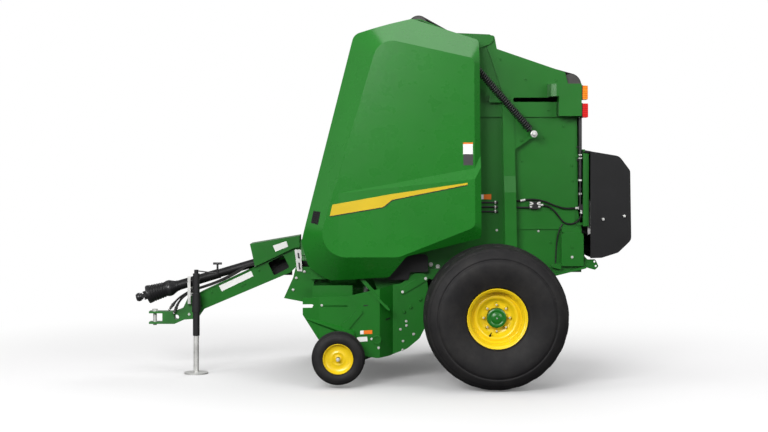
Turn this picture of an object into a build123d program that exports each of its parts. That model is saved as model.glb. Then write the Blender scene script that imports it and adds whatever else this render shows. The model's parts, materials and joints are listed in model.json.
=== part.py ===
"""Round baler with a net wrap, a drawn pickup and a rear tailgate, all in millimetres.

X runs from the hitch (-X) to the tailgate (+X), Y across with the left side at -Y, and Z up.
The origin is on the ground below the middle of the machine's box.
"""
from build123d import *
import math
import os

# ---------------------------------------------------------------- driving dimensions
FRONT_X, REAR_X = -1962.0, 1962.0      # tip of the drive yoke, back of the net cover
TRACK_HALF = 980.0                     # centre of a main wheel from the middle
AXLE = (895.0, 540.0)                  # X, Z of the main wheels
TYRE_R, TYRE_W, RIM_R = 540.0, 540.0, 204.0
BOLT_R = 101.5                         # radius of the wheel bolts' circle
WALL_Y, WALL_T = 600.0, 8.0            # outer face and thickness of the side sheets
GATE_PIVOT = (880.0, 2640.0)           # X, Z of the tailgate hinge
PICKUP_PIVOT = (340.0, 800.0)          # X, Z of the pickup hinge
COVER_PIVOT = (1604.0, 1778.0)         # X, Z of the net cover hinge
SHIELD_PIVOT = (700.0, 2720.0)         # |Y|, Z of the side shield hinge
REEL = (-290.0, 255.0)                 # X, Z of the tined reel
ROTOR = (150.0, 560.0)                 # X, Z of the feed rotor
GAUGE = (-280.0, 226.0)                # X, Z of the pickup's gauge wheels
GAUGE_Y, GAUGE_R, GAUGE_W = 970.0, 200.0, 165.0
RAM_BASE = (-140.0, 1700.0)            # X, Z of the gate ram's fixed pin
RAM_EYE = (380.0, 2100.0)              # X, Z of the gate ram's rod eye
RAM_Y = 655.0                          # |Y| of both gate rams
JACK = (-1440.0, -215.0)               # X, Y of the parking jack
SPRING_TOP, SPRING_LOW = (640.0, 2558.0), (1207.0, 1907.0)   # X, Z of the spring's pins
SPRING_Y = 735.0                       # |Y| of the belt tension springs
HITCH_PIN = (-1804.0, 428.0)           # X, Z of the drawbar pin's middle
LEFT, RIGHT = -1, 1                    # sign of Y
SIDES = ((LEFT, "left"), (RIGHT, "right"))
FIT = 0.05                             # radial clearance of a pin in its bore

os.makedirs("parts", exist_ok=True)


# ---------------------------------------------------------------- shape helpers
def block(low, high):
    """Box between two opposite corners, given in any order."""
    size = [abs(b - a) for a, b in zip(low, high)]
    middle = [(a + b) / 2 for a, b in zip(low, high)]
    return Box(*size).moved(Location(tuple(middle)))


def outline(points, radius=0.0):
    """Closed face in the X-Z plane; radius is one number or one for each corner."""
    places = [(x, 0, z) for x, z in points]
    if radius:
        return make_face(FilletPolyline(*places, radius=radius, close=True))
    return make_face(Polyline(*places, close=True))


def plate(points, y_from, y_to, radius=0.0):
    """Plate with its outline in the X-Z plane, between two values of Y."""
    low = min(y_from, y_to)
    solid = extrude(outline(points, radius), amount=abs(y_to - y_from), dir=(0, 1, 0))
    return solid.moved(Location((0, low, 0)))


def rod(start, end, radius, bore=0.0):
    """Round bar between two points, or a tube where it has a bore."""
    start, end = Vector(*start), Vector(*end)
    plane = Plane(origin=start, z_dir=end - start)
    section = Circle(radius)
    if bore:
        section -= Circle(bore)
    return extrude(plane * section, amount=(end - start).length)


def cross_rod(place, y_from, y_to, radius, bore=0.0):
    """Round bar or tube along Y at an (X, Z) place."""
    low, high = min(y_from, y_to), max(y_from, y_to)
    return rod((place[0], low, place[1]), (place[0], high, place[1]), radius, bore)


def turned(place, y_middle, profile):
    """Ring turned about the Y axis at an (X, Z) place; profile is (radius, y) points."""
    face = make_face(Polyline(*[(r, y, 0) for r, y in profile], close=True))
    ring = revolve(face, axis=Axis.Y)
    return ring.moved(Location((place[0], y_middle, place[1])))


def hose(points, radius):
    """Hose along a route: each bend is as wide as its two runs allow; prints the bends' radii."""
    places = [Vector(*p) for p in points]
    radii = []
    for before, here, after in zip(places, places[1:], places[2:]):
        half_turn = math.radians((here - before).get_angle(after - here)) / 2
        shorter = min((here - before).length, (after - here).length)
        radii.append(0.45 * shorter / math.tan(half_turn))
    path = FilletPolyline(*places, radius=radii)
    solid = sweep(Plane(origin=path @ 0, z_dir=path % 0) * Circle(radius), path=path)
    share = solid.volume / (math.pi * radius ** 2 * path.length)
    print("hose", round(path.length), "mm, volume share", round(share, 3), "radii", [round(r) for r in radii])
    return solid


def flipped(shape):
    """The same piece on the other side of the machine."""
    return mirror(shape, about=Plane.XZ)


def both(shape):
    """A left piece and its right twin, as solids of one node."""
    return Compound(list(shape.solids()) + list(flipped(shape).solids()))


def save(shape, node):
    """Write one node."""
    export_step(shape, f"parts/{node}.step")


# ---------------------------------------------------------------- fixed side sheets and frame
WALL_FRONT = [(-500, 860), (-500, 1090), (-385, 1180), (-80, 2545), (-10, 2640), (300, 2795),
              (350, 2795), (812, 2600), (842, 2552), (1000, 2115), (1000, 790), (60, 790)]
RAIL_Z = (790.0, 870.0)                # the chassis rails under the side sheets
RAIL_OUT = 655.0                       # |Y| of a rail's outer face
AXLE_BEAM = 60.0                       # half the side of the square axle beam


def front_walls():
    """Fixed side sheets of the bale chamber with the fixed half of the gate hinge."""
    sheet = plate(WALL_FRONT, -WALL_Y, -WALL_Y + WALL_T)
    throat = plate([(-20, 790), (70, 500), (150, 470), (230, 500), (330, 790)],
                   -WALL_Y, -WALL_Y + WALL_T, [0, 30, 40, 30, 0])
    sheet = sheet + throat - cross_rod(ROTOR, -650, -550, 30 + FIT)
    sheet -= cross_rod(CROSS_SHAFT, -650, -550, 34)
    x, z = GATE_PIVOT
    ear = plate([(545, 2600), (600, 2690), (x, z + 38), (x + 38, z), (x, z - 38), (760, 2560),
                 (690, 2500), (590, 2500)], -WALL_Y - 20, -WALL_Y - 8, [20, 20, 22, 22, 22, 10, 20, 20])
    spring_pin = cross_rod(SPRING_TOP, -WALL_Y - 20, -SPRING_Y - 37, 16)
    pad = block((570, -WALL_Y, 2575), (690, -WALL_Y - 8, 2650))
    pin = cross_rod(GATE_PIVOT, -WALL_Y - 20, -WALL_Y + 20, 20)
    ram_boss = cross_rod(RAM_BASE, -WALL_Y, -RAM_Y + 32, 34)
    ram_pin = cross_rod(RAM_BASE, -WALL_Y, -RAM_Y - 32, 15)
    lip = plate([(-500, 1090), (-385, 1180), (-80, 2545), (-10, 2640), (300, 2795), (350, 2795),
                 (560, 2706), (556, 2696), (349, 2785), (302, 2785), (-4, 2633), (-71, 2541),
                 (-377, 1175), (-494, 1083)], -WALL_Y, -WALL_Y - 25)
    return both(sheet + ear + spring_pin + pad + pin + ram_boss + ram_pin + lip)


def frame_rails():
    """Chassis rails along the side sheets, with the pickup's hinge pins."""
    rail = block((-500, -WALL_Y, RAIL_Z[0]), (1000, -RAIL_OUT, RAIL_Z[1]))
    rail -= block((-460, -WALL_Y - 6, RAIL_Z[0] - 1), (960, -RAIL_OUT + 6, RAIL_Z[0] + 70))
    web = block((320, -WALL_Y, RAIL_Z[0]), (360, -RAIL_OUT, RAIL_Z[1]))
    pin = cross_rod(PICKUP_PIVOT, -RAIL_OUT, -RAIL_OUT - 40, 18)
    leg = plate([(800, 600), (800, 790), (990, 790), (990, 600)], -WALL_Y, -WALL_Y - 40, 0)
    return both(rail + web + pin + leg)


def side_pipes():
    """Steel oil pipes along the left side sheet, with their end fittings and clamp."""
    y = -WALL_Y - 14
    pipes = Part()
    for z in (1310, 1345, 1380):
        pipes += rod((560, y, z), (925, y, z), 6)
        pipes += rod((915, y, z), (940, y, z), 11)
    pipes += block((690, -WALL_Y, 1296), (720, y - 9, 1394))
    return pipes


def axle_beam():
    """Square beam below the chamber with end plates and the wheel spindles."""
    x, z = AXLE
    beam = block((x - AXLE_BEAM, -640, z - AXLE_BEAM), (x + AXLE_BEAM, 640, z + AXLE_BEAM))
    end = block((800, -640, z - 70), (1000, -659, z + AXLE_BEAM))
    spindle = cross_rod(AXLE, -640, -1050, 35)
    collar = cross_rod(AXLE, -659, -760, 52)
    half = end + spindle + collar
    return beam + half + flipped(half)


def rear_posts():
    """Folded uprights from the axle to the top bracket, with the spring gussets."""
    section = [(972, 2150), (872, 2150), (872, 2205), (985, 2205), (1065, 2080), (1065, 2014),
               (1082, 1065), (1090, 470), (1000, 470), (992, 1065)]
    profile = Polyline((0, -651, 2210), (0, -651, 1585), (0, -679, 1460), (0, -679, 460),
                       (0, -700, 460), (0, -700, 1460), (0, -672, 1585), (0, -672, 2210),
                       close=True)
    folded = extrude(make_face(profile), amount=400, dir=(1, 0, 0)).moved(Location((800, 0, 0)))
    post = folded & plate(section, -600, -720)
    gusset = plate([(1010, 2120), (1065, 2060), (1232, 1930), (1232, 1884), (1190, 1872),
                    (1070, 1790), (1010, 1790)], -651, -661, [0, 0, 18, 18, 12, 0, 0])
    bolt = cross_rod(SPRING_LOW, -655, -SPRING_Y - 37, 12)
    bracket = block((872, -WALL_Y, 2168), (962, -651, 2205))
    foot = plate([(950, 470), (950, 585), (1095, 640), (1095, 470)], -659, -679)
    return both(post + gusset + bolt + bracket + foot)


def front_beam():
    """Cross beam at the front of the chassis with the folded side plates below it."""
    beam = block((-620, -WALL_Y, 872), (-500, WALL_Y, 936))
    beam -= block((-612, -WALL_Y - 1, 880), (-508, WALL_Y + 1, 928))
    cheek = plate([(-662, 690), (-590, 868), (-500, 872), (-500, 700), (-560, 640), (-640, 655)],
                  -WALL_Y, -WALL_Y + 12, [10, 20, 0, 10, 10, 10])
    strap = block((-620, -WALL_Y, 868), (-500, -WALL_Y + 12, 872))
    return beam + cheek + strap + flipped(cheek + strap)


# ---------------------------------------------------------------- drawbar, driveline and jack
TONGUE_HALF = 90.0
TONGUE = [(-1400, 500), (-693, 800), (-620, 872), (-620, 1002), (-665, 996), (-977, 846),
          (-1430, 635)]
SHAFT_REAR, SHAFT_TIP = (-905.0, 897.0), (FRONT_X + 8, 585.0)
SHAFT_LENGTH = 1205.0                  # tip of the yoke to the gearbox's input shaft
CROSS_SHAFT = (-455.0, 1035.0)         # X, Z of the shaft to the left-hand drive


def along_shaft(distance):
    """Point on the driveline's axis, measured back from the tip of the yoke."""
    run_x, run_z = SHAFT_REAR[0] - SHAFT_TIP[0], SHAFT_REAR[1] - SHAFT_TIP[1]
    length = math.hypot(run_x, run_z)
    return (SHAFT_TIP[0] + run_x * distance / length, 0.0, SHAFT_TIP[1] + run_z * distance / length)


def tongue():
    """Fabricated drawbar: a channel open on top over the gearbox, with a window each side."""
    solid = plate(TONGUE, -TONGUE_HALF, TONGUE_HALF)
    inner = plate([(-1392, 515), (-697, 812), (-630, 884), (-610, 1100), (-1060, 1100),
                   (-1060, 796), (-1412, 632)], -TONGUE_HALF + 10, TONGUE_HALF - 10)
    window = plate([(-827, 774), (-878, 876), (-753, 941), (-702, 839)],
                   -TONGUE_HALF - 5, TONGUE_HALF + 5, 14)
    return solid - inner - window - rod(along_shaft(SHAFT_LENGTH), along_shaft(1450), 40)


def hitch_clevis():
    """Cast clevis, its arm and the plate that bolts it to the drawbar."""
    ears = plate([(-1847, 377), (-1847, 393), (-1738, 393), (-1738, 463), (-1847, 463),
                  (-1847, 479), (-1640, 479), (-1570, 505), (-1530, 590), (-1430, 635),
                  (-1400, 500), (-1455, 420), (-1560, 412), (-1640, 377)], -45, 45)
    hole = cross_rod((-1622, 432), -60, 60, 20)
    bore = rod((HITCH_PIN[0], 0, 300), (HITCH_PIN[0], 0, 600), 15 + FIT)
    return ears - hole - bore


def hitch_pin():
    """Drawbar pin with its head."""
    x, z = HITCH_PIN
    shank = rod((x, 0, 365), (x, 0, 479), 15)
    head = rod((x, 0, 479), (x, 0, 495), 22)
    return shank + head


def driveline():
    """Shielded telescoping shaft with its bell guards."""
    tube_end = along_shaft(SHAFT_LENGTH)
    profile = [(0, 95), (70, 95), (72, 120), (60, 250), (62, 265), (62, 300), (40, 345),
               (38, 700), (32, 705), (32, SHAFT_LENGTH), (0, SHAFT_LENGTH)]
    face = make_face(Polyline(*[(r, 0, d) for r, d in profile], close=True))
    solid = revolve(face, axis=Axis.Z)
    start = Vector(*along_shaft(0))
    return solid.moved(Plane(origin=start, z_dir=Vector(*tube_end) - start).location)


def driveline_yoke():
    """Splined yoke that couples to the tractor's shaft."""
    sleeve = rod(along_shaft(0), along_shaft(48), 30, 17.5)
    fork = rod(along_shaft(48), along_shaft(95), 38)
    return Compound([sleeve.solid(), fork.solid()])


def driveline_hood():
    """Sheet hood over the rear end of the driveline."""
    side = [(-1020, 1030), (-619, 1098), (-619, 1004), (-665, 998), (-979, 848)]
    outer = plate(side, -122, 122)
    inner = plate([(-1100, 1010), (-600, 1095), (-600, 900), (-1100, 800)], -116, 116)
    return outer - inner


def gearbox():
    """Cast gearbox between the drawbar and the chassis, with its cross shaft tube."""
    case = plate([(-612, 940), (-612, 1060), (-560, 1110), (-400, 1110), (-400, 940)], -105, 105, 14)
    nose = rod(along_shaft(SHAFT_LENGTH), along_shaft(SHAFT_LENGTH + 215), 40)
    tube = cross_rod(CROSS_SHAFT, 105, -690, 34)
    return case + nose + tube


def parking_jack():
    """Fixed tube of the parking jack with its bracket, cap and crank."""
    x, y = JACK
    tube = rod((x, y, 304), (x, y, 794), 27, 22)
    collar = rod((x, y, 490), (x, y, 640), 34, 26)
    cap = rod((x, y, 786), (x, y, 830), 17)
    lid = rod((x, y, 786), (x, y, 800), 27)
    arm = rod((x, y, 822), (x + 175, y, 800), 5)
    knob = rod((x + 170, y, 795), (x + 170, y, 880), 8)
    grip = rod((x + 135, y, 880), (x + 205, y, 880), 9)
    bracket = block((x - 25, y + 30, 520), (x + 25, -TONGUE_HALF, 610))
    return tube + collar + cap + lid + arm + knob + grip + bracket


def jack_leg():
    """Inner leg of the jack with its foot."""
    x, y = JACK
    leg = rod((x, y, 10), (x, y, 490), 21.5)
    foot = rod((x, y, 0), (x, y, 12), 95)
    return leg + foot


TONGUE_HOSES = {                       # radius, Y, then X, Z of each route from the clamp out
    "tongue_hose_1": (8.0, -54.0, [(-985, 862), (-1034, 862), (-1098, 826), (-1170, 782),
                                   (-1248, 742), (-1330, 708), (-1414, 680), (-1496, 654),
                                   (-1568, 614), (-1618, 576), (-1648, 536)]),
    "tongue_hose_2": (8.0, -73.0, [(-985, 856), (-1030, 856), (-1092, 818), (-1164, 775),
                                   (-1242, 736), (-1324, 703), (-1408, 676), (-1490, 650),
                                   (-1556, 606), (-1598, 562), (-1620, 512)]),
    "tongue_hose_3": (6.0, 60.0, [(-985, 860), (-1032, 860), (-1095, 822), (-1167, 778),
                                  (-1245, 738), (-1327, 705), (-1411, 678), (-1494, 650),
                                  (-1562, 612), (-1608, 570), (-1630, 522)])}


def hose_couplers():
    """Clamps inside the hood, the hook over the drawbar's front end, and the hoses' plugs."""
    clamps = block((-975, -80, 846), (-985, -40, 884)) + block((-975, 46, 850), (-985, 80, 882))
    stand = block((-1526, -96, 545), (-1502, -91, 764)) + block((-1526, -92, 545), (-1502, -45, 551))
    stand += block((-1526, 45, 545), (-1502, 96, 551)) + block((-1526, 91, 545), (-1502, 96, 700))
    stand += rod((-1514, -92, 614), (-1514, 92, 614), 5)
    stand += block((-1526, -96, 758), (-1502, -70, 764))
    plugs = []
    for radius, y, route in TONGUE_HOSES.values():
        (x1, z1), (x2, z2) = route[-2:]
        way = Vector(x2 - x1, 0, z2 - z1).normalized()
        tip = Vector(x2, y, z2)
        plugs.append(rod(tip, tip + way * 34, radius + 2.5))
        plugs.append(rod(tip + way * 34, tip + way * 58, radius + 0.5))
    fused = Part() + plugs
    return Compound(list(clamps.solids()) + list(stand.solids()) + list(fused.solids()))


# ---------------------------------------------------------------- panels, rolls and belts
BELT_Y, BELT_T = 560.0, 8.0            # half width across all belts, belt thickness
BELT_COUNT, BELT_W = 7, 150.0
FRONT_LOOP = [(330, 2752, 70), (12, 2500, 60), (-262, 1300, 60), (752, 2530, 58)]  # x, z, radius
GATE_LOOP = [(985, 2455, 62), (1500, 2288, 86), (1500, 1000, 84)]
FRONT_ROLLS = FRONT_LOOP + [(225, 930, 78), (-60, 930, 62)]
GATE_ROLLS = GATE_LOOP + [(1180, 900, 70)]


def band(points, radii, y_low, y_high, thickness):
    """Strip of even thickness along straight runs and arcs in the X-Z plane."""
    path = FilletPolyline(*[(x, 0, z) for x, z in points], radius=radii)
    start = Plane(origin=path @ 0, x_dir=(0, 1, 0), z_dir=path % 0)
    strip = sweep(start * Rectangle(y_high - y_low, thickness), path=path)
    return strip.moved(Location((0, (y_low + y_high) / 2, 0)))


def hull_of(table, margin):
    """Outline drawn tight round circles given as (x, z, radius), widened by a margin."""
    edges = []
    for x, z, radius in table:
        edges += (Pos(x, z) * Circle(radius + margin)).edges()
    return make_hull(edges)


def rolls(table):
    """Rolls between the side sheets, each with its stub shafts."""
    inner = WALL_Y - WALL_T
    shafts = [cross_rod((x, z), -inner, inner, 22) for x, z, radius in table]
    bodies = [cross_rod((x, z), -BELT_Y - 12, BELT_Y + 12, radius) for x, z, radius in table]
    return Compound([s for a, b in zip(shafts, bodies) for s in (a + b).solids()])


def belts(table):
    """Forming belts side by side, each a loop round the rolls of a table."""
    loop = hull_of(table, BELT_T) - hull_of(table, 0.05)
    pitch = (2 * BELT_Y - BELT_W) / (BELT_COUNT - 1)
    strips = []
    for i in range(BELT_COUNT):
        y = -BELT_Y + i * pitch
        strips += extrude(Plane.XZ * loop, amount=-BELT_W).moved(Location((0, y, 0))).solids()
    return Compound(strips)


def front_panel():
    """Folded sheet that closes the front between the side sheets."""
    points = [(-474, 1128), (-379, 1190), (-87, 2490), (-32, 2590)]
    return band(points, [12, 40], -WALL_Y + WALL_T, WALL_Y - WALL_T, 4)


def drive_guards():
    """Black moulded guards over the lower drives, one each side."""
    skin = plate([(95, 790), (95, 985), (400, 985), (400, 850), (262, 850), (250, 790)],
                 -697, -705, [12, 30, 30, 12, 8, 8])
    foot = block((120, -WALL_Y, 900), (150, -697, 960)) + block((350, -WALL_Y, 900), (380, -697, 960))
    return both(skin + foot)


def tension_springs():
    """Belt tension springs, one each side, from the top bracket to the gusset bolt."""
    start = Vector(SPRING_TOP[0], -SPRING_Y, SPRING_TOP[1])
    end = Vector(SPRING_LOW[0], -SPRING_Y, SPRING_LOW[1])
    along = (end - start).normalized()
    coil = rod(start + along * 70, end - along * 45, 31, 19)
    eyes = rod(start + along * 66, start + along * 74, 31) + rod(end - along * 49, end - along * 41, 31)
    hooks = rod(start + along * 16, start + along * 70, 9) + rod(end - along * 45, end - along * 12, 9)
    return both(coil + eyes + hooks)


def shield_hinges():
    """Brackets and pins that carry the side shields."""
    y, z = SHIELD_PIVOT
    pieces = []
    for x in (176, 366):
        face = make_face(Polyline((x, -WALL_Y, z - 70), (x, -y - 8, z - 16), (x, -y - 14, z + 6),
                                  (x, -y + 4, z + 14), (x, -WALL_Y - 52, z + 2),
                                  (x, -WALL_Y - 27, z - 32), (x, -WALL_Y, z - 34), close=True))
        pieces.append(extrude(face, amount=10, dir=(1, 0, 0)))
        pieces.append(rod((x, -y, z), (x + 60, -y, z), 8))
    return both(pieces[0] + pieces[1] + pieces[2] + pieces[3])


DRIVES = [  # first sprocket x, z, radius, second sprocket x, z, radius, plane |Y|
    (-455, 1035, 44, 225, 1112, 84, 735),
    (225, 1112, 60, -262, 1300, 60, 718)]


def chain_drive():
    """Sprockets and roller chains of the left-hand drive."""
    pieces = []
    for x1, z1, r1, x2, z2, r2, y in DRIVES:
        ends = [(x1, z1, r1), (x2, z2, r2)]
        loop = hull_of(ends, 7) - hull_of(ends, -6)
        chain = extrude(Plane.XZ * loop, amount=12).moved(Location((0, -y + 6, 0)))
        pieces.append(chain)
        pieces.append(cross_rod((x1, z1), -y - 3, -y + 3, r1 - 5.5))
        pieces.append(cross_rod((x2, z2), -y - 3, -y + 3, r2 - 5.5))
    pieces.append(cross_rod((225, 1112), -WALL_Y, -750, 24))
    pieces.append(cross_rod((-262, 1300), -WALL_Y, -735, 24))
    pieces.append(cross_rod(CROSS_SHAFT, -690, -750, 24))
    return Part() + pieces


# ---------------------------------------------------------------- side shields
SHIELD_RIM_Y, SHIELD_FACE_Y, SHIELD_T = 720.0, 930.0, 7.0
SHIELD_BEVEL = 45.0                    # slope of the bevel from the face back to the rim
SHIELD_RIM = [(-568, 1085), (-169, 2668), (276, 2789), (782, 2622), (795, 1118), (232, 984),
              (100, 816), (-485, 776)]
RIM_RADII = [60, 75, 0, 30, 22, 50, 25, 25]
SHIELD_FACE = [(-462, 975), (25, 2630), (740, 2472), (745, 1206), (173, 978)]
FACE_RADII = [180, 145, 45, 50, 150]
STEP_FRONT = (-280, 1457)              # X, Z where the lower panel starts to stand proud
STEP_TOP, STEP_LOW = (749, 1647), (749, 1565)    # the step's upper and lower edge at the rear
STEP_OUT = 45.0                        # how far the lower panel stands proud at the rear


def inset(points, amount):
    """Outline moved inwards by an even amount."""
    inner = []
    count = len(points)
    for i, (x, z) in enumerate(points):
        before, after = points[i - 1], points[(i + 1) % count]
        into = Vector(x - before[0], z - before[1]).normalized()
        out = Vector(after[0] - x, after[1] - z).normalized()
        left_in, left_out = Vector(into.Y, -into.X), Vector(out.Y, -out.X)
        middle = (left_in + left_out).normalized()
        reach = amount / max(0.35, middle.dot(left_in))
        inner.append((x + middle.X * reach, z + middle.Y * reach))
    return inner


def shield_form(margin):
    """Outer form of the shield, or its hollow where a margin is given."""
    rim = outline(inset(SHIELD_RIM, margin), RIM_RADII)
    rim_y, face_y = SHIELD_RIM_Y - margin, SHIELD_FACE_Y - margin
    wall = extrude(rim, amount=SHIELD_FACE_Y + STEP_OUT + 20 - rim_y, dir=(0, -1, 0))
    wall = wall.moved(Location((0, -rim_y, 0)))
    face_inset = margin * (1 / math.cos(math.radians(SHIELD_BEVEL)) - 1)
    face = outline(inset(SHIELD_FACE, face_inset), FACE_RADII).moved(Location((0, -face_y, 0)))
    slope = extrude(face, amount=face_y - rim_y + 60, dir=(0, 1, 0), taper=-SHIELD_BEVEL)
    hinge = Vector(STEP_FRONT[0], -face_y, STEP_FRONT[1])
    turn = math.degrees(math.atan2(STEP_OUT, STEP_LOW[0] - STEP_FRONT[0]))
    proud = slope.rotate(Axis(hinge, (0, 0, 1)), -turn)
    along_top = Vector(STEP_TOP[0], -face_y, STEP_TOP[1]) - hinge
    along_low = Vector(STEP_LOW[0], -face_y - STEP_OUT, STEP_LOW[1]) - hinge
    up = along_low.cross(along_top).normalized()
    below = Plane(origin=hinge - up * margin, z_dir=up)
    lower = proud & (below * Box(6000, 6000, 3000, align=(Align.CENTER, Align.CENTER, Align.MAX)))
    return wall & (slope + lower)


def shield_arm(x):
    """Hinge arm of the left shield, from its pin out along the inside of the upper bevel."""
    y, z = SHIELD_PIVOT
    face_top = SHIELD_FACE[1][1] - (x - SHIELD_FACE[1][0]) * 0.221

    def skin(out):
        return min(2757, face_top + (SHIELD_FACE_Y - out) * 1.024 - 4)

    arm = make_face(Polyline((x, -y + 14, z - 12), (x, -y + 14, z + 12), (x, -y - 24, z + 18),
                             (x, -770, skin(770)), (x, -860, skin(860)), (x, -860, skin(860) - 34),
                             (x, -770, skin(770) - 40), (x, -y - 20, z - 16), close=True))
    return extrude(arm, amount=10, dir=(1, 0, 0))


def side_shield():
    """Left moulded side shield, open on the inside and at the rear, with its hinge arms."""
    shell = shield_form(0) - shield_form(SHIELD_T)
    shell -= block((775, -SHIELD_RIM_Y + 5, 1160), (830, -SHIELD_RIM_Y - 75, 2540))
    y, z = SHIELD_PIVOT
    for x in (190, 380):
        shell += shield_arm(x)
        shell -= rod((x - 5, -y, z), (x + 15, -y, z), 8 + FIT)
    return shell


# ---------------------------------------------------------------- tailgate
WALL_GATE = [(1016, 832), (1016, 2120), (868, 2556), (842, 2630), (866, 2676), (916, 2670),
             (935, 2568), (1424, 2400), (1462, 2389), (1555, 2033), (1563, 1305), (1590, 1175),
             (1622, 882), (1376, 827)]
GATE_RADII = [0, 0, 0, 26, 26, 20, 8, 10, 20, 60, 0, 0, 12, 0]


def gate_walls():
    """Side sheets of the tailgate: rail that the ram pushes, lower box, and cross beams."""
    sheet = plate(WALL_GATE, -WALL_Y, -WALL_Y + WALL_T, GATE_RADII)
    sheet -= cross_rod(GATE_PIVOT, -650, -550, 20 + FIT)
    sheet -= plate([(1060, 2157), (1060, 2191), (1414, 2191), (1414, 2157)], -650, -550, 16)
    lip = plate([(935, 2568), (1424, 2400), (1420, 2390), (932, 2557)], -WALL_Y + WALL_T,
                -WALL_Y + 30)
    rail = plate([(345, 2066), (345, 2134), (560, 2150), (1395, 2150), (1395, 2040), (560, 2040)],
                 -WALL_Y - 6, -WALL_Y - 22, [20, 20, 0, 0, 0, 0])
    pad = block((1040, -WALL_Y, 2050), (1395, -WALL_Y - 6, 2140))
    channel = plate([(1084, 1172), (1084, 1310), (1536, 1310), (1536, 1172)],
                    -WALL_Y, -WALL_Y - 14)
    channel -= plate([(1070, 1186), (1070, 1296), (1522, 1296), (1522, 1186)],
                     -WALL_Y, -WALL_Y - 9)
    outline_box = [(1430, 890), (1430, 1150), (1600, 1150), (1600, 890)]
    box = plate(outline_box, -WALL_Y, -WALL_Y - 46, [6, 30, 30, 6])
    box -= plate([(1436, 880), (1436, 1140), (1594, 1140), (1594, 880)], -WALL_Y - 6, -WALL_Y - 40)
    crown = plate([(1434, 1150), (1440, 1187), (1566, 1187), (1590, 1150)], -WALL_Y, -WALL_Y - 30,
                  [0, 22, 22, 0])
    skirt = plate([(1376, 812), (1376, 830), (1622, 890), (1622, 872)], -WALL_Y + WALL_T,
                  -WALL_Y - 40)
    shelf = plate([(1357, 880), (1372, 904), (1430, 912), (1430, 862)], -WALL_Y, -WALL_Y - 36)
    lug = plate([(1590, 990), (1636, 938), (1696, 940), (1722, 885), (1694, 858), (1600, 884)],
                -WALL_Y + WALL_T, -WALL_Y - 4, [0, 20, 14, 14, 14, 0])
    for place in ((1690, 922), (1700, 888)):
        lug -= cross_rod(place, -650, -550, 8)
    side = sheet + lip + rail + pad + channel + box + crown + skirt + shelf + lug
    inner = WALL_Y - WALL_T
    beams = block((1285, -inner, 2285), (1350, inner, 2345))
    beams += block((1500, -inner, 840), (1590, inner, 890))
    return side + flipped(side) + beams


def lamp_brackets():
    """Folded boxes at the upper rear corners of the tailgate, each with a wing in front."""
    skin = 5
    case = block((1400, -WALL_Y, 2044), (1573, -740, 2291))
    case -= block((1400 + skin, -WALL_Y + 1, 2044 + skin), (1573 - skin, -740 + skin, 2291 - skin))
    wing = make_face(Polyline((1325, -WALL_Y, 2196), (1342, -725, 2196), (1380, -740, 2196),
                              (1402, -740, 2196), (1402, -735, 2196), (1381, -735, 2196),
                              (1346, -721, 2196), (1331, -WALL_Y, 2196), close=True))
    case += extrude(wing, amount=95, dir=(0, 0, 1))
    for z in (2196, 2286):
        lid = make_face(Polyline((1328, -WALL_Y, z), (1342, -725, z), (1380, -740, z),
                                 (1402, -740, z), (1402, -WALL_Y, z), close=True))
        case += extrude(lid, amount=skin, dir=(0, 0, 1))
    return both(case)


def lamps(z_low, z_high, x_back):
    """One pair of rear lamps at the outer edge of the brackets."""
    lens = block((1580, -738, z_low), (x_back, -650, z_high))
    lens = fillet(lens.edges().filter_by(Axis.Y), 6)
    return both(lens + block((1573, -735, z_low + 5), (1580, -655, z_high - 5)))


GATE_HOSE_Y, GATE_HOSE_R = -625.0, 7.0
GATE_HOSES = {                         # X, Z of each route, from its coupling to the valve
    "gate_hose_upper": [(1042, 1391), (1108, 1391), (1178, 1404), (1250, 1402), (1320, 1382),
                        (1388, 1352), (1458, 1332), (1518, 1336), (1566, 1336)],
    "gate_hose_lower": [(1262, 1360), (1310, 1360), (1356, 1334), (1396, 1294), (1440, 1230),
                        (1481, 1212), (1526, 1215), (1564, 1240), (1585, 1280), (1585, 1322)]}


GATE_CABLE = [(1440, -622, 1214), (1420, -621, 1180), (1405, -616, 1130), (1396, -609, 1070),
              (1392, -606, 1000), (1388, -606, 912)]


def gate_hydraulics():
    """Upright net ram with its valve, the hoses' couplings and a clipped cable, on the left."""
    x, y, z = 1576, GATE_HOSE_Y, 1322
    valve = block((1566, -WALL_Y - 6, z), (1596, y - 15, z + 44))
    stem = rod((x, y, z + 44), (x, y, 1560), 8)
    barrel = rod((x, y - 1, 1560), (x, y - 1, 2036), 13)
    nuts = [rod((x, y, low), (x, y, low + 14), 13) for low in (1440, 1475, 1546)]
    straps = [block((1552, -WALL_Y, low), (1568, -WALL_Y - 6, low + 16)) for low in (1700, 1800, 1330)]
    straps += [block((1552, -WALL_Y - 6, low), (1588, y + 9, low + 16)) for low in (1700, 1800)]
    coupling = block((1192, -WALL_Y, 1330), (1262, y - 14, 1388))
    inlet = block((1006, -WALL_Y, 1326), (1042, y - 12, 1404))
    pipe = rod((1042, y, 1342), (1192, y, 1342), 6)
    cable = hose(GATE_CABLE, 5)
    fused = valve + stem + barrel + nuts + straps + coupling + inlet + pipe
    return Compound(list(fused.solids()) + [cable.solid()])


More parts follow.
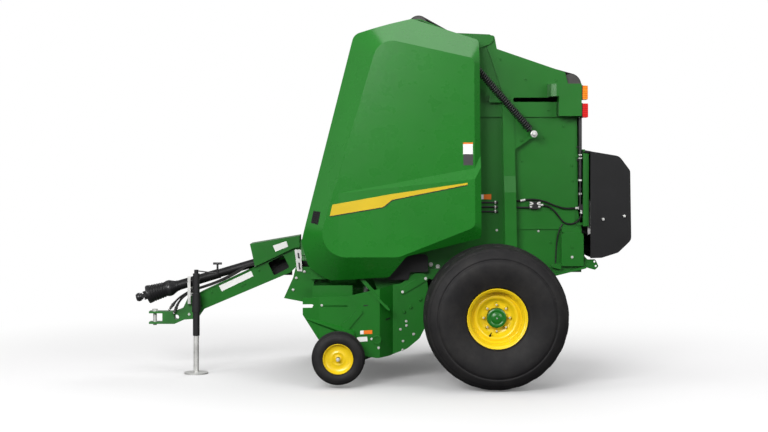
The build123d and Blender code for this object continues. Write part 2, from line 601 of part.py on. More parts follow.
def net_frame():
    """Uprights behind the belts that carry the net wrap's cover and tray."""
    strip = block((1597, -WALL_Y - 40, 1197), (1641, -WALL_Y, 1757))
    ties = block((1540, -WALL_Y - 10, 1728), (1600, -WALL_Y, 1748))
    ties += block((1540, -WALL_Y - 10, 1204), (1600, -WALL_Y, 1224))
    hinge = block((1590, -WALL_Y - 10, 1757), (1616, -WALL_Y, 1790))
    x, z = COVER_PIVOT
    pin = cross_rod(COVER_PIVOT, -WALL_Y, -WALL_Y - 40, 6)
    side = strip + ties + hinge + pin
    tubes = [block((1604, -WALL_Y, z1), (1634, WALL_Y, z1 + 40)) for z1 in (1215, 1700)]
    return side + flipped(side) + tubes[0] + tubes[1]


def net_tray():
    """Trough and feed rolls of the net wrap, under the cover."""
    trough = band([(1664, 1215), (1672, 1130), (1820, 1060), (1900, 1180)], [40, 60], -590, 590, 4)
    ears = plate([(1634, 1215), (1634, 1255), (1642, 1420), (1700, 1300), (1700, 1150), (1642, 1130)],
                 -590, -584)
    feed = cross_rod((1668, 1268), -584, 584, 26)
    return trough + ears + flipped(ears) + feed


COVER = [(1648, 1775), (1870, 1738), (1954, 1626), (REAR_X, 1093), (1861, 996), (1734, 956),
         (1648, 953)]


def net_cover():
    """Black moulded cover over the net wrap, a hollow lid hinged at its top."""
    outer = plate(COVER, -680, 680, [0, 70, 50, 60, 50, 20, 0])
    hollow = plate(inset(COVER, 6), -674, 674, [0, 66, 46, 56, 46, 18, 0])
    shell = outer - hollow - block((1600, -673, 900), (1660, 673, 1767))
    x, z = COVER_PIVOT
    for y in (-628, 616):
        arm = plate([(x - 9, z - 9), (x - 9, z + 9), (1660, z - 2), (1660, z - 16)], y, y + 12,
                    [8.5, 8.5, 0, 0])
        shell += arm - cross_rod(COVER_PIVOT, y - 5, y + 17, 6 + FIT)
    return shell


# ---------------------------------------------------------------- gate rams
RAM_TUBE_R, RAM_ROD_R = 28.0, 15.0


def ram_line(distance):
    """Point on the left ram's axis, measured from its fixed pin."""
    run_x, run_z = RAM_EYE[0] - RAM_BASE[0], RAM_EYE[1] - RAM_BASE[1]
    length = math.hypot(run_x, run_z)
    return (RAM_BASE[0] + run_x * distance / length, -RAM_Y,
            RAM_BASE[1] + run_z * distance / length)


RAM_LENGTH = math.hypot(RAM_EYE[0] - RAM_BASE[0], RAM_EYE[1] - RAM_BASE[1])


def ram_tube():
    """Barrel of the left ram with its base eye and gland."""
    tube = rod(ram_line(26), ram_line(585), RAM_TUBE_R, 23)
    base = rod(ram_line(26), ram_line(60), RAM_TUBE_R)
    gland = rod(ram_line(560), ram_line(592), RAM_TUBE_R + 3, RAM_ROD_R + FIT)
    eye = cross_rod(RAM_BASE, -RAM_Y - 24, -RAM_Y + 20, 30)
    return tube + base + gland + eye - cross_rod(RAM_BASE, -RAM_Y - 40, -RAM_Y + 40, 15 + FIT)


def ram_rod():
    """Piston, rod and eye of the left ram, with the pin that sits in the eye."""
    bar = rod(ram_line(120), ram_line(RAM_LENGTH - 20), RAM_ROD_R)
    piston = rod(ram_line(90), ram_line(125), 22)
    eye = cross_rod(RAM_EYE, -RAM_Y - 24, -RAM_Y + 24, 28)
    pin = cross_rod(RAM_EYE, -RAM_Y - 34, -RAM_Y + 27, 14)
    return bar + piston + eye + pin


# ---------------------------------------------------------------- main wheels
def main_tyre():
    """Wide low-pressure tyre, an open carcass on its rim."""
    half = TYRE_W / 2
    outer = [(RIM_R, -198), (RIM_R + 20, -200), (RIM_R + 42, -226), (300, -258), (378, -half),
             (448, -256), (506, -216), (534, -130), (TYRE_R, 0), (534, 130), (506, 216), (448, 256),
             (378, half), (300, 258), (RIM_R + 42, 226), (RIM_R + 20, 200), (RIM_R, 198)]
    inner = [(RIM_R, 180), (310, 234), (437, 236), (496, 180), (512, 0), (496, -180), (437, -236),
             (310, -234), (RIM_R, -180)]
    profile = outer + inner
    return turned(AXLE, -TRACK_HALF, profile)


def main_rim():
    """Dished disc wheel: flanges, bead seats, well and disc."""
    profile = [(222, -208), (222, -202), (204, -200), (204, 200), (222, 202), (222, 208),
               (198, 206), (198, -60), (176, -88), (150, -108), (128, -84), (104, -74), (60, -74),
               (60, -84), (100, -84), (122, -95), (146, -120), (170, -112), (198, -84), (198, -206)]
    disc = turned(AXLE, -TRACK_HALF, profile)
    for spot in wheel_bolts():
        disc -= cross_rod(spot, -TRACK_HALF - 110, -TRACK_HALF - 50, 11)
    return disc


def wheel_bolts():
    """Places of the eight wheel bolts on the left wheel, as (X, Z)."""
    turns = [math.radians(45 * i) for i in range(8)]
    return [(AXLE[0] + BOLT_R * math.cos(t), AXLE[1] + BOLT_R * math.sin(t)) for t in turns]


def main_hub():
    """Hub that carries the disc on the spindle, with its cap and wheel bolts."""
    y = -TRACK_HALF
    barrel = cross_rod(AXLE, y - 74, y + 60, 60, 35 + FIT)
    flange = cross_rod(AXLE, y - 74, y - 60, 122, 35 + FIT)
    cap = cross_rod(AXLE, y - 140, y - 96, 71) + cross_rod(AXLE, y - 98, y - 74, 60)
    bolts = [cross_rod(spot, y - 100, y - 60, 11) for spot in wheel_bolts()]
    return barrel + flange + cap + bolts


# ---------------------------------------------------------------- pickup
PANEL_OUT, PANEL_IN = 820.0, 690.0     # |Y| of the pickup's side panels, front and rear
PICKUP_BEAM = (-90.0, 592.0)           # X, Z of the pickup's cross beam


def pickup_frame():
    """Side panels, hinge ears, beams and wheel arms of the pickup."""
    inner_r = PANEL_OUT - 6
    plan = [(-560, -PANEL_OUT - 20), (-430, -PANEL_OUT), (30, -PANEL_OUT), (130, -PANEL_IN),
            (420, -PANEL_IN), (420, -PANEL_IN + 8), (134, -PANEL_IN + 8), (34, -inner_r),
            (-430, -inner_r), (-560, -PANEL_OUT - 12)]
    sheet = extrude(make_face(Polyline(*[(x, y, 150) for x, y in plan], close=True)), amount=700,
                    dir=(0, 0, 1))
    side = outline([(-554, 664), (-554, 536), (-430, 337), (-330, 262), (1, 205), (108, 210),
                    (240, 260), (336, 340), (374, 416), (404, 560), (404, 700), (384, 838),
                    (300, 838), (194, 762), (-46, 714), (-224, 672)],
                   [10, 14, 40, 60, 90, 90, 90, 60, 30, 0, 40, 34, 34, 40, 60, 0])
    panel = extrude(side, amount=400, dir=(0, 1, 0)).moved(Location((0, -1000, 0))) & sheet
    panel -= cross_rod(PICKUP_PIVOT, -720, -660, 18 + FIT)
    notch = plate([(-600, 588), (-600, 614), (-482, 614), (-466, 601), (-482, 588)], -900, -800)
    slot = plate([(-415, 592), (-415, 606), (-215, 606), (-215, 592)], -900, -800, 6)
    arm = plate([(-316, 190), (-316, 262), (-250, 470), (-130, 580), (-90, 560), (-200, 430),
                 (-244, 262), (-244, 190)], -PANEL_OUT - 12, -PANEL_OUT, 18)
    link = plate([(190, 690), (184, 716), (306, 797), (324, 770)], -PANEL_IN, -PANEL_IN - 10, 12)
    strut = plate([(-122, 788), (-98, 804), (96, 598), (74, 580)], -708, -716, 6)
    strut += cross_rod((84, 592), -716, -756, 9)
    ring = cross_rod((7, 343), -PANEL_OUT, -PANEL_OUT - 9, 34, 24)
    axle = cross_rod(GAUGE, -PANEL_OUT, -GAUGE_Y - GAUGE_W / 2 - 12, 12)
    reel_pin = cross_rod(REEL, -PANEL_OUT + 6, -PANEL_OUT + 46, 20)
    half = panel - notch - slot + arm + link + strut + ring + axle + reel_pin + panel_fold()
    beam = cross_rod(PICKUP_BEAM, -inner_r, inner_r, 30)
    return half + flipped(half) + beam


def panel_fold():
    """Tapered fold pressed out of the left panel, deepest at its rear end."""
    y = -PANEL_OUT
    rear = make_face(Polyline((-160, y + 3, 420), (-160, y - 24, 396), (-160, y - 24, 372),
                              (-160, y + 3, 350), close=True))
    tip = make_face(Polyline((-520, y - 12, 514), (-520, y - 22, 506), (-520, y - 22, 500),
                             (-520, y - 12, 492), close=True))
    return loft([rear, tip], ruled=True)


def pickup_floor():
    """Floor of the feed channel, between the pickup and the rotor."""
    points = [(-88, 176), (10, 212), (110, 222), (235, 272), (322, 348), (366, 430)]
    return band(points, [140, 200, 160, 200], -PANEL_IN + 8, PANEL_IN - 8, 6)


BAND_COUNT, BAND_PITCH, BAND_W = 23, 68.0, 40.0
REEL_R = 185.0


def pickup_bands():
    """Stripper bands wrapped round the reel, between its rows of tines."""
    x, z = REEL
    strips = []
    for i in range(BAND_COUNT):
        y = (i - (BAND_COUNT - 1) / 2) * BAND_PITCH
        strips.append(band([(-160, 440), (x - 40, z + 138), (x - 132, z + 112), (x - 132, z - 132),
                            (-100, z - 132), (-100, 162)], [60, 60, 128, 22],
                           y - BAND_W / 2, y + BAND_W / 2, 5))
    bottom = block((-112, -PANEL_OUT + 6, 158), (-84, PANEL_OUT - 6, 168))
    top = block((-170, -PANEL_OUT + 6, 434), (-140, PANEL_OUT - 6, 464))
    return bottom + top + strips


def windguard():
    """Crop press: a roller in front of the reel on two arms from the cross beam."""
    roller = cross_rod((-470, 560), -572, 572, 24)
    arms = Part()
    for y in (-576, 564):
        arms += plate([(-480, 548), (-480, 572), (-110, 616), (-80, 610), (-80, 574), (-110, 580)],
                      y, y + 12)
    return roller + arms - cross_rod(PICKUP_BEAM, -700, 700, 30)


def pickup_reel():
    """Tined reel: shaft, end discs, four tine bars and their double tines."""
    x, z = REEL
    inner = PANEL_OUT - 8
    reel = cross_rod(REEL, -inner + 2, inner - 2, 45, 20 + FIT)
    for y in (-inner + 2, inner - 10):
        reel += cross_rod(REEL, y, y + 8, 112, 20 + FIT)
    tines = []
    for corner in range(4):
        turn = math.radians(45 + 90 * corner)
        out = Vector(math.cos(turn), 0, math.sin(turn))
        spot = (x + 92 * out.X, z + 92 * out.Z)
        reel += cross_rod(spot, -inner + 2, inner - 2, 14)
        for i in range(BAND_COUNT - 1):
            y = (i + 0.5 - (BAND_COUNT - 1) / 2) * BAND_PITCH
            plane = Plane(origin=(spot[0], y, spot[1]), x_dir=(0, 1, 0), z_dir=out)
            tines.append(extrude(plane * Rectangle(7, 7), amount=REEL_R - 92))
    return reel + tines


def feed_rotor():
    """Feed rotor between the throat plates, with paddles in rows."""
    x, z = ROTOR
    shaft = cross_rod(ROTOR, -WALL_Y, WALL_Y, 30)
    drum = cross_rod(ROTOR, -570, 570, 95)
    paddles = []
    for row in range(9):
        y = (row - 4) * 128.0
        turn = 20 * row
        star = [(188 * math.cos(math.radians(turn + a)), 188 * math.sin(math.radians(turn + a)))
                if i % 2 else (90 * math.cos(math.radians(turn + a)), 90 * math.sin(math.radians(turn + a)))
                for i, a in enumerate(range(0, 360, 45))]
        paddles.append(plate([(x + a, z + b) for a, b in star], y - 5, y + 5))
    return shaft + drum + paddles


def gauge_tyre():
    """Small plain tyre of the pickup's gauge wheel."""
    half = GAUGE_W / 2
    profile = [(112, -half + 16), (140, -half), (175, -half + 8), (194, -half + 30), (GAUGE_R, 0),
               (194, half - 30), (175, half - 8), (140, half), (112, half - 16)]
    return turned(GAUGE, -GAUGE_Y, profile)


def gauge_rim():
    """Pressed rim and hub of the gauge wheel."""
    profile = [(112, -72), (112, 72), (106, 72), (104, 8), (60, 2),
               (34, -10), (34, 40), (12 + FIT, 40), (12 + FIT, -50), (34, -50), (34, -18),
               (60, -8), (104, -2), (106, -72)]
    return turned(GAUGE, -GAUGE_Y, profile)


# ---------------------------------------------------------------- write every node
def write_all():
    """Build each node; handed pieces are mirrored to the right."""
    single = {
        "front_walls": front_walls, "frame_rails": frame_rails, "axle_beam": axle_beam,
        "rear_posts": rear_posts, "front_beam": front_beam, "tongue": tongue,
        "hitch_clevis": hitch_clevis, "hitch_pin": hitch_pin, "driveline": driveline,
        "driveline_yoke": driveline_yoke, "driveline_hood": driveline_hood, "gearbox": gearbox,
        "parking_jack": parking_jack, "jack_leg": jack_leg, "front_panel": front_panel,
        "drive_guards": drive_guards, "tension_springs": tension_springs,
        "side_pipes": side_pipes, "hose_couplers": hose_couplers,
        "shield_hinges": shield_hinges, "chain_drive": chain_drive, "gate_walls": gate_walls,
        "lamp_brackets": lamp_brackets, "net_frame": net_frame,
        "net_tray": net_tray, "net_cover": net_cover, "pickup_frame": pickup_frame,
        "pickup_floor": pickup_floor, "pickup_bands": pickup_bands, "windguard": windguard,
        "pickup_reel": pickup_reel, "feed_rotor": feed_rotor,
        "gate_hydraulics": gate_hydraulics}
    for node, make in single.items():
        save(make(), node)
    save(rolls(FRONT_ROLLS), "front_rolls")
    save(rolls(GATE_ROLLS), "gate_rolls")
    save(belts(FRONT_LOOP), "front_belts")
    save(belts(GATE_LOOP), "gate_belts")
    for name, route in GATE_HOSES.items():
        save(hose([(x, GATE_HOSE_Y, z) for x, z in route], GATE_HOSE_R), name)
    for name, (radius, y, route) in TONGUE_HOSES.items():
        save(hose([(x, y, z) for x, z in route], radius), name)
    save(lamps(2170, 2277, 1620), "lamps_amber")
    save(lamps(2033, 2140, 1622), "lamps_red")
    handed = {
        "shield": side_shield, "ram_tube": ram_tube, "ram_rod": ram_rod, "tyre": main_tyre,
        "rim": main_rim, "hub": main_hub, "gauge_tyre": gauge_tyre, "gauge_rim": gauge_rim}
    for name, make in handed.items():
        left = make()
        save(left, f"{name}_left")
        save(flipped(left), f"{name}_right")


write_all()
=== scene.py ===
"""Looks of the round baler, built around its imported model. Metres, in the frame of the part;
points given to mm() are in millimetres."""

import json
from math import atan2, cos, pi, radians, sin, sqrt

import bmesh
import bpy
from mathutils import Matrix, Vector
from mathutils.bvhtree import BVHTree


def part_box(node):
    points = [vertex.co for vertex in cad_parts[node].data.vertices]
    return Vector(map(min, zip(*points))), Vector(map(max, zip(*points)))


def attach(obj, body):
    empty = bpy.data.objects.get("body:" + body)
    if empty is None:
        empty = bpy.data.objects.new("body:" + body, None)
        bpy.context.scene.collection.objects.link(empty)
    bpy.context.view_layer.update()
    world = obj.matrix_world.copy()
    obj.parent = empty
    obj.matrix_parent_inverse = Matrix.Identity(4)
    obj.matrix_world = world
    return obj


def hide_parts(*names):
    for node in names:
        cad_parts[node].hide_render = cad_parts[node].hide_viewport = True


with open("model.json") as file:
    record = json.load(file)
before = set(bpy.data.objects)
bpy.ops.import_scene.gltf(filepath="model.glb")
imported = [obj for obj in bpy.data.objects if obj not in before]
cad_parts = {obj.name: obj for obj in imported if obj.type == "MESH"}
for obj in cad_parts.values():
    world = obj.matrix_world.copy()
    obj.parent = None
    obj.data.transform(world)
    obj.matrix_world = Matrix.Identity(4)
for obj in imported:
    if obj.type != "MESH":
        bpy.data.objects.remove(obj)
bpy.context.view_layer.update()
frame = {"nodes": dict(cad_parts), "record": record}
NODES = frame["nodes"]
BOTH = LEFT, RIGHT = -1, 1
SIDES = (LEFT, "left"), (RIGHT, "right")


def middle(node):
    """Middle of a node's box."""
    low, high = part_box(node)
    return (low + high) / 2


# ---- places and outlines
AXLE = middle("rim_left")
GAUGE = middle("gauge_rim_left")
WHEEL_Y, GAUGE_Y = 0.98, 0.97  # middle of the main and of the gauge wheels, from the centre
SHEET_Y = 0.6  # outer face of the side sheets
PANEL_Y, PANEL_REAR_Y = 0.82, 0.69  # outer face of the pickup's panels, ahead and behind their slope
VALVE_Y = -0.625  # middle of the valve and hoses on the left of the tailgate
X, Y, Z = (1, 0, 0), (0, 1, 0), (0, 0, 1)  # directions: to the rear, to the right, up
ON_AXIS = 1e-5  # radius where a turned outline closes on its axis


def mm(points):
    """The same points in metres."""
    return [(a / 1000, b / 1000) for a, b in points]


def solid(profile, tip=None, radius=0.0):
    """Outline of (radius, distance) points closed on the axis, its radii counted from radius."""
    last = profile[-1][1] if tip is None else tip
    return [(ON_AXIS, profile[0][1])] + [(radius + r, d) for r, d in profile] + [(ON_AXIS, last)]


# ---- materials
class Nodes:
    """A small builder of nodes in a tree."""

    def __init__(self, tree):
        self.tree = tree
        self.coordinates = self.node("ShaderNodeTexCoord")

    def node(self, kind, inputs=(), **values):
        """A new node with its settings, and the values of some of its sockets."""
        made = self.tree.nodes.new(kind)
        for key, value in values.items():
            setattr(made, key, value)
        for socket, value in dict(inputs).items():
            made.inputs[socket].default_value = value
        return made

    def link(self, output, socket):
        """Links an output to a socket."""
        self.tree.links.new(output, socket)

    def mix(self, share, first, second):
        """Mix of two shaders, the second by its share."""
        mixed = self.node("ShaderNodeMixShader")
        self.link(share, mixed.inputs["Fac"])
        self.link(first.outputs[0], mixed.inputs[1])
        self.link(second.outputs[0], mixed.inputs[2])
        return mixed

    def show(self, lighting, seen, output):
        """Gives the output one shader for the camera's rays and another for all other rays."""
        rays = self.node("ShaderNodeLightPath")
        mixed = self.mix(rays.outputs["Is Camera Ray"], lighting, seen)
        self.link(mixed.outputs[0], self.tree.nodes[output].inputs["Surface"])

    def spread(self, value, low, high, start=0.0, end=1.0, **values):
        """A value between start and end moved to the range low to high."""
        ends = {"From Min": start, "From Max": end, "To Min": low, "To Max": high}
        mapped = self.node("ShaderNodeMapRange", ends, **values)
        self.link(value, mapped.inputs["Value"])
        return mapped.outputs["Result"]


class Shader(Nodes):
    """The nodes of one material."""

    def __init__(self, name):
        self.material = bpy.data.materials.new(name)
        self.material.use_nodes = True
        super().__init__(self.material.node_tree)
        self.principled = self.tree.nodes["Principled BSDF"]

    def noise(self, scale, detail=4.0, rough=0.55):
        """Noise in the part's own coordinates; returns its value."""
        noise = self.node("ShaderNodeTexNoise", {"Scale": scale, "Detail": detail, "Roughness": rough})
        self.link(self.coordinates.outputs["Object"], noise.inputs["Vector"])
        return noise.outputs["Fac"]

    def ramp(self, value, stops):
        """Colour ramp between two (place, colour) stops."""
        ramp = self.node("ShaderNodeValToRGB")
        for element, (place, colour) in zip(ramp.color_ramp.elements, stops):
            element.position = place
            element.color = (*colour, 1)
        self.link(value, ramp.inputs["Fac"])
        return ramp.outputs["Color"]

    def bump(self, value, distance, strength, below):
        """A layer of bump, over the one below; returns its normal."""
        bump = self.node("ShaderNodeBump", {"Distance": distance, "Strength": strength})
        self.link(value, bump.inputs["Height"])
        if below is not None:
            self.link(below, bump.inputs["Normal"])
        return bump.outputs["Normal"]

    def constant(self, **values):
        """Values for sockets of the principled shader, with _ for each space in a name."""
        for name, value in values.items():
            self.principled.inputs[name.replace("_", " ")].default_value = value

    def colour(self, tone, colour, low, high, places=(0.3, 0.7)):
        """Base colour that drifts between two shades of it with the value tone."""
        shades = [tuple(min(1, c * k) for c in colour) for k in (low, high)]
        self.link(self.ramp(tone, zip(places, shades)), self.principled.inputs["Base Color"])

    def roughness(self, value, low, high):
        """Roughness between low and high with the value."""
        self.link(self.spread(value, low, high), self.principled.inputs["Roughness"])

    def relief(self, *layers):
        """Bump layers from the lowest up, each a value, a distance and a strength."""
        normal = None
        for value, distance, strength in layers:
            normal = self.bump(value, distance, strength, normal)
        self.link(normal, self.principled.inputs["Normal"])


def paint(name, colour, rough, coat, peel=0.00035, drift=(0.86, 1.12)):
    """Baked enamel: slight tone drift, orange peel and a clear gloss."""
    s = Shader(name)
    s.colour(s.noise(1.7, 5), colour, *drift)
    s.roughness(s.noise(9, 6), rough - 0.05, rough + 0.07)
    s.relief((s.noise(22, 2), peel * 2, 0.25), (s.noise(260, 2), peel, 0.35))
    s.constant(Coat_Weight=coat, Coat_Roughness=0.2, Specular_IOR_Level=0.3)
    return s.material


def plastic(name, colour, rough):
    """Moulded plastic with a fine leather grain."""
    s = Shader(name)
    s.colour(s.noise(3, 4), colour, 0.85, 1.2)
    s.roughness(s.noise(14, 5), rough - 0.06, rough + 0.06)
    s.relief((s.noise(900, 3, 0.7), 0.0004, 0.5))
    s.constant(Specular_IOR_Level=0.22)
    return s.material


def rubber(name, colour, rough, dust):
    """Moulded rubber, darker where it is clean and greyer where dust holds."""
    s = Shader(name)
    mix = s.node("ShaderNodeMix", {"A": (*colour, 1), "B": (0.075, 0.07, 0.062, 1)}, data_type="RGBA")
    s.link(s.ramp(s.noise(6, 8, 0.65), [(0.42, (0, 0, 0)), (0.75, (dust, dust, dust))]),
           mix.inputs["Factor"])
    s.link(mix.outputs["Result"], s.principled.inputs["Base Color"])
    s.roughness(s.noise(30, 6), rough - 0.08, rough + 0.1)
    s.relief((s.noise(60, 4), 0.0006, 0.3), (s.noise(700, 3), 0.0002, 0.4))
    s.constant(Specular_IOR_Level=0.22)
    return s.material


def steel(name, colour, rough, metal):
    """Plated or bare steel with a fine skin and a little bloom."""
    s = Shader(name)
    s.colour(s.noise(11, 6, 0.6), colour, 0.75, 1.15)
    s.roughness(s.noise(120, 4), rough - 0.1, rough + 0.12)
    s.relief((s.noise(240, 3), 0.0002, 0.35))
    s.constant(Metallic=metal)
    return s.material


def lens(name, colour):
    """Ribbed lamp lens with some depth of colour."""
    s = Shader(name)
    wave = s.node("ShaderNodeTexWave", {"Scale": 22}, wave_type="BANDS", bands_direction="Z")
    s.link(s.coordinates.outputs["Object"], wave.inputs["Vector"])
    s.colour(wave.outputs["Fac"], colour, 0.7, 1.15, (0.0, 1.0))
    s.relief((wave.outputs["Fac"], 0.0012, 0.6))
    s.roughness(s.noise(40), 0.08, 0.2)
    s.constant(Coat_Weight=0.5, Subsurface_Weight=0.15)
    return s.material


def cast(name, colour, rough):
    """Painted sand casting: paint over a pebbled skin."""
    s = Shader(name)
    s.colour(s.noise(7, 6), colour, 0.8, 1.1)
    s.roughness(s.noise(25, 5), rough - 0.06, rough + 0.08)
    s.relief((s.noise(90, 5), 0.0012, 0.35), (s.noise(420, 3), 0.0006, 0.4))
    s.constant(Coat_Weight=0.35, Coat_Roughness=0.15)
    return s.material


GREEN = (0.0085, 0.15, 0.0105)
GREEN_DEEP = (0.008, 0.128, 0.0095)
YELLOW = (0.8, 0.56, 0.008)
LOOKS = {  # slot: the kind of material, its colour and then its values in order
    "green_paint": (paint, GREEN_DEEP, 0.33, 0.35),
    "shield_green": (paint, GREEN, 0.27, 0.5, 0.0001, (0.92, 1.07)),
    "yellow_paint": (paint, YELLOW, 0.34, 0.5),
    "stripe_yellow": (paint, tuple(0.72 * c for c in YELLOW), 0.38, 0.3),
    "black_paint": (paint, (0.012, 0.012, 0.013), 0.42, 0.3),
    "black_plastic": (plastic, (0.0085, 0.0085, 0.0092), 0.46),
    "tyre_rubber": (rubber, (0.0095, 0.009, 0.0098), 0.62, 0.16),
    "belt_rubber": (rubber, (0.018, 0.018, 0.018), 0.7, 0.35),
    "hose_rubber": (rubber, (0.006, 0.006, 0.006), 0.5, 0.08),
    "zinc_steel": (steel, (0.66, 0.66, 0.64), 0.42, 0.55),
    "dark_steel": (steel, (0.06, 0.058, 0.056), 0.48, 0.7),
    "cast_green": (cast, GREEN_DEEP, 0.42),
    "amber_lens": (lens, (0.85, 0.24, 0.012)),
    "red_lens": (lens, (0.62, 0.012, 0.01)),
}
MATERIALS = {name: make(name, *values) for name, (make, *values) in LOOKS.items()}


def added(name, data):
    """A new object in the scene, with this mesh, curve, lamp or camera."""
    made = bpy.data.objects.new(name, data)
    bpy.context.scene.collection.objects.link(made)
    return made


def dress(node, material):
    """Gives a CAD node its material in every slot."""
    piece = NODES[node]
    if not piece.material_slots:
        piece.data.materials.append(None)
    for slot in piece.material_slots:
        slot.link = "OBJECT"
        slot.material = material


for entry in frame["record"]["subparts"]:
    dress(entry["node"], MATERIALS[entry["material_slot"]])


# ---- making pieces
class Build:
    """Points and faces of one joined piece."""

    def __init__(self):
        self.points, self.faces = [], []

    def add(self, points, faces):
        """Adds points, and faces that count from the first of them."""
        base = len(self.points)
        self.points += [Vector(p) for p in points]
        self.faces += [[base + i for i in face] for face in faces]

    def prism(self, outline, offset):
        """A flat outline carried by the vector offset, closed."""
        n = len(outline)
        points = [Vector(p) for p in outline] + [Vector(p) + Vector(offset) for p in outline]
        faces = [list(range(n))[::-1], list(range(n, 2 * n))]
        faces += [[i, (i + 1) % n, n + (i + 1) % n, n + i] for i in range(n)]
        self.add(points, faces)

    def box(self, low, high):
        """A box between two corners."""
        (x0, y0, z0), (x1, y1, z1) = low, high
        self.prism([(x0, y0, z0), (x1, y0, z0), (x1, y1, z0), (x0, y1, z0)], (0, 0, z1 - z0))

    def lathe(self, profile, centre, axis, steps, start=0.0):
        """Turns a closed outline of (radius, distance) points about an axis through centre."""
        axis = Vector(axis).normalized()
        side = Vector(X) if abs(axis.y) > 0.9 else axis.orthogonal().normalized()
        up = axis.cross(side)
        centre = Vector(centre)
        rings = []
        for i in range(steps):
            turn = start + 2 * pi * i / steps
            way = side * cos(turn) + up * sin(turn)
            rings.append([centre + axis * d + way * r for r, d in profile])
        points = [p for ring in rings for p in ring]
        n, faces = len(profile), []
        for i in range(steps):
            j = (i + 1) % steps
            for k in range(n):
                m = (k + 1) % n
                faces.append([i * n + k, j * n + k, j * n + m, i * n + m])
        self.add(points, faces)

    def disc(self, centre, axis, radius, thickness, steps):
        """A solid disc standing on centre, along axis."""
        self.lathe(solid([(radius, 0), (radius, thickness)]), centre, axis, steps)

    def bar(self, start, end, radius, steps):
        """A solid round bar from start to end."""
        start, end = Vector(start), Vector(end)
        self.disc(start, end - start, radius, (end - start).length, steps)

    def tube(self, path, radius, steps):
        """A round tube along a list of points."""
        path = [Vector(p) for p in path]
        normal = None
        points = []
        for i, p in enumerate(path):
            way = (path[min(i + 1, len(path) - 1)] - path[max(i - 1, 0)]).normalized()
            if normal is None:
                normal = way.orthogonal().normalized()
            normal = (normal - way * normal.dot(way)).normalized()
            other = way.cross(normal)
            for k in range(steps):
                turn = 2 * pi * k / steps
                points.append(p + (normal * cos(turn) + other * sin(turn)) * radius)
        faces = []
        for i in range(len(path) - 1):
            for k in range(steps):
                m = (k + 1) % steps
                faces.append([i * steps + k, i * steps + m, (i + 1) * steps + m, (i + 1) * steps + k])
        last = (len(path) - 1) * steps
        faces += [list(range(steps))[::-1], list(range(last, last + steps))]
        self.add(points, faces)

    def hexagon(self, centre, axis, across, height, turn):
        """A hexagon head with a chamfered crown, standing on centre."""
        r = across / sqrt(3)
        self.lathe(solid([(r, 0), (r, height * 0.8), (r * 0.84, height)]), centre, axis, 6, start=turn)

    def bolt(self, centre, axis, across, turn=0.3):
        """A washer with a hexagon head on it."""
        axis, washer = Vector(axis).normalized(), across * 0.12
        self.disc(centre, axis, across * 0.78, washer, 16)
        self.hexagon(Vector(centre) + axis * washer, axis, across, across * 0.5, turn)

    def slab(self, outline, y, thick):
        """A flat outline of (X, Z) points at Y, carried across by thick."""
        self.prism([(x, y, z) for x, z in outline], (0, thick, 0))

    def piece(self, name, body, slot, material=None, smooth=35):
        """The finished piece, riding on its body and in its slot."""
        mesh = bpy.data.meshes.new(name)
        mesh.from_pydata([tuple(p) for p in self.points], [], self.faces)
        mesh.validate()
        work = bmesh.new()
        work.from_mesh(mesh)
        bmesh.ops.recalc_face_normals(work, faces=work.faces)
        work.to_mesh(mesh)
        work.free()
        piece = added(name, mesh)
        mesh.materials.append(material or MATERIALS[slot])
        mesh.shade_smooth()
        mesh.set_sharp_from_angle(angle=radians(smooth))
        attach(piece, body)
        return piece


def surface(*nodes):
    """Tree of the solids' faces of some CAD nodes, for finding their skin."""
    points, faces = [], []
    for node in nodes:
        base = len(points)
        points += [v.co.copy() for v in NODES[node].data.vertices]
        faces += [[base + i for i in p.vertices] for p in NODES[node].data.polygons]
    return BVHTree.FromPolygons(points, faces)


def skin(tree, x, z, side):
    """Point and outward normal of the outermost skin at X, Z, seen from one side."""
    outside = Vector((x, side * 3.0, z))
    place, normal, _, _ = tree.ray_cast(outside, Vector((0, -side, 0)))
    return place, (-normal if normal.y * side < 0 else normal)


# ---- stage, lights and camera
def area_light(name, place, target, size, power):
    """A white rectangular lamp at a place, turned towards its target."""
    data = bpy.data.lights.new(name, "AREA")
    data.shape = "RECTANGLE"
    data.size, data.size_y = size
    data.energy = power
    lamp = added(name, data)
    lamp.location = place
    way = Vector(target) - Vector(place)
    lamp.rotation_euler = way.to_track_quat("-Z", "Y").to_euler()


def floor():
    """Pale floor that fades into white with distance, for the camera's rays alone."""
    reach = 60.0
    mesh = bpy.data.meshes.new("floor")
    mesh.from_pydata([(-reach, -reach, 0), (reach, -reach, 0), (reach, reach, 0), (-reach, reach, 0)],
                     [], [(0, 1, 2, 3)])
    plane = added("floor", mesh)
    s = Shader("floor")
    s.constant(Base_Color=(0.74, 0.735, 0.74, 1), Roughness=0.9)
    glow = s.node("ShaderNodeEmission", {"Strength": 1.0})
    dim = s.node("ShaderNodeBsdfDiffuse", {"Color": (0.1, 0.1, 0.1, 1)})
    away = s.node("ShaderNodeVectorMath", operation="LENGTH")
    s.link(s.coordinates.outputs["Object"], away.inputs[0])
    share = s.spread(away.outputs["Value"], 0.12, 1.0, 1.8, 5.0, interpolation_type="SMOOTHSTEP")
    s.show(dim, s.mix(share, s.principled, glow), "Material Output")
    mesh.materials.append(s.material)


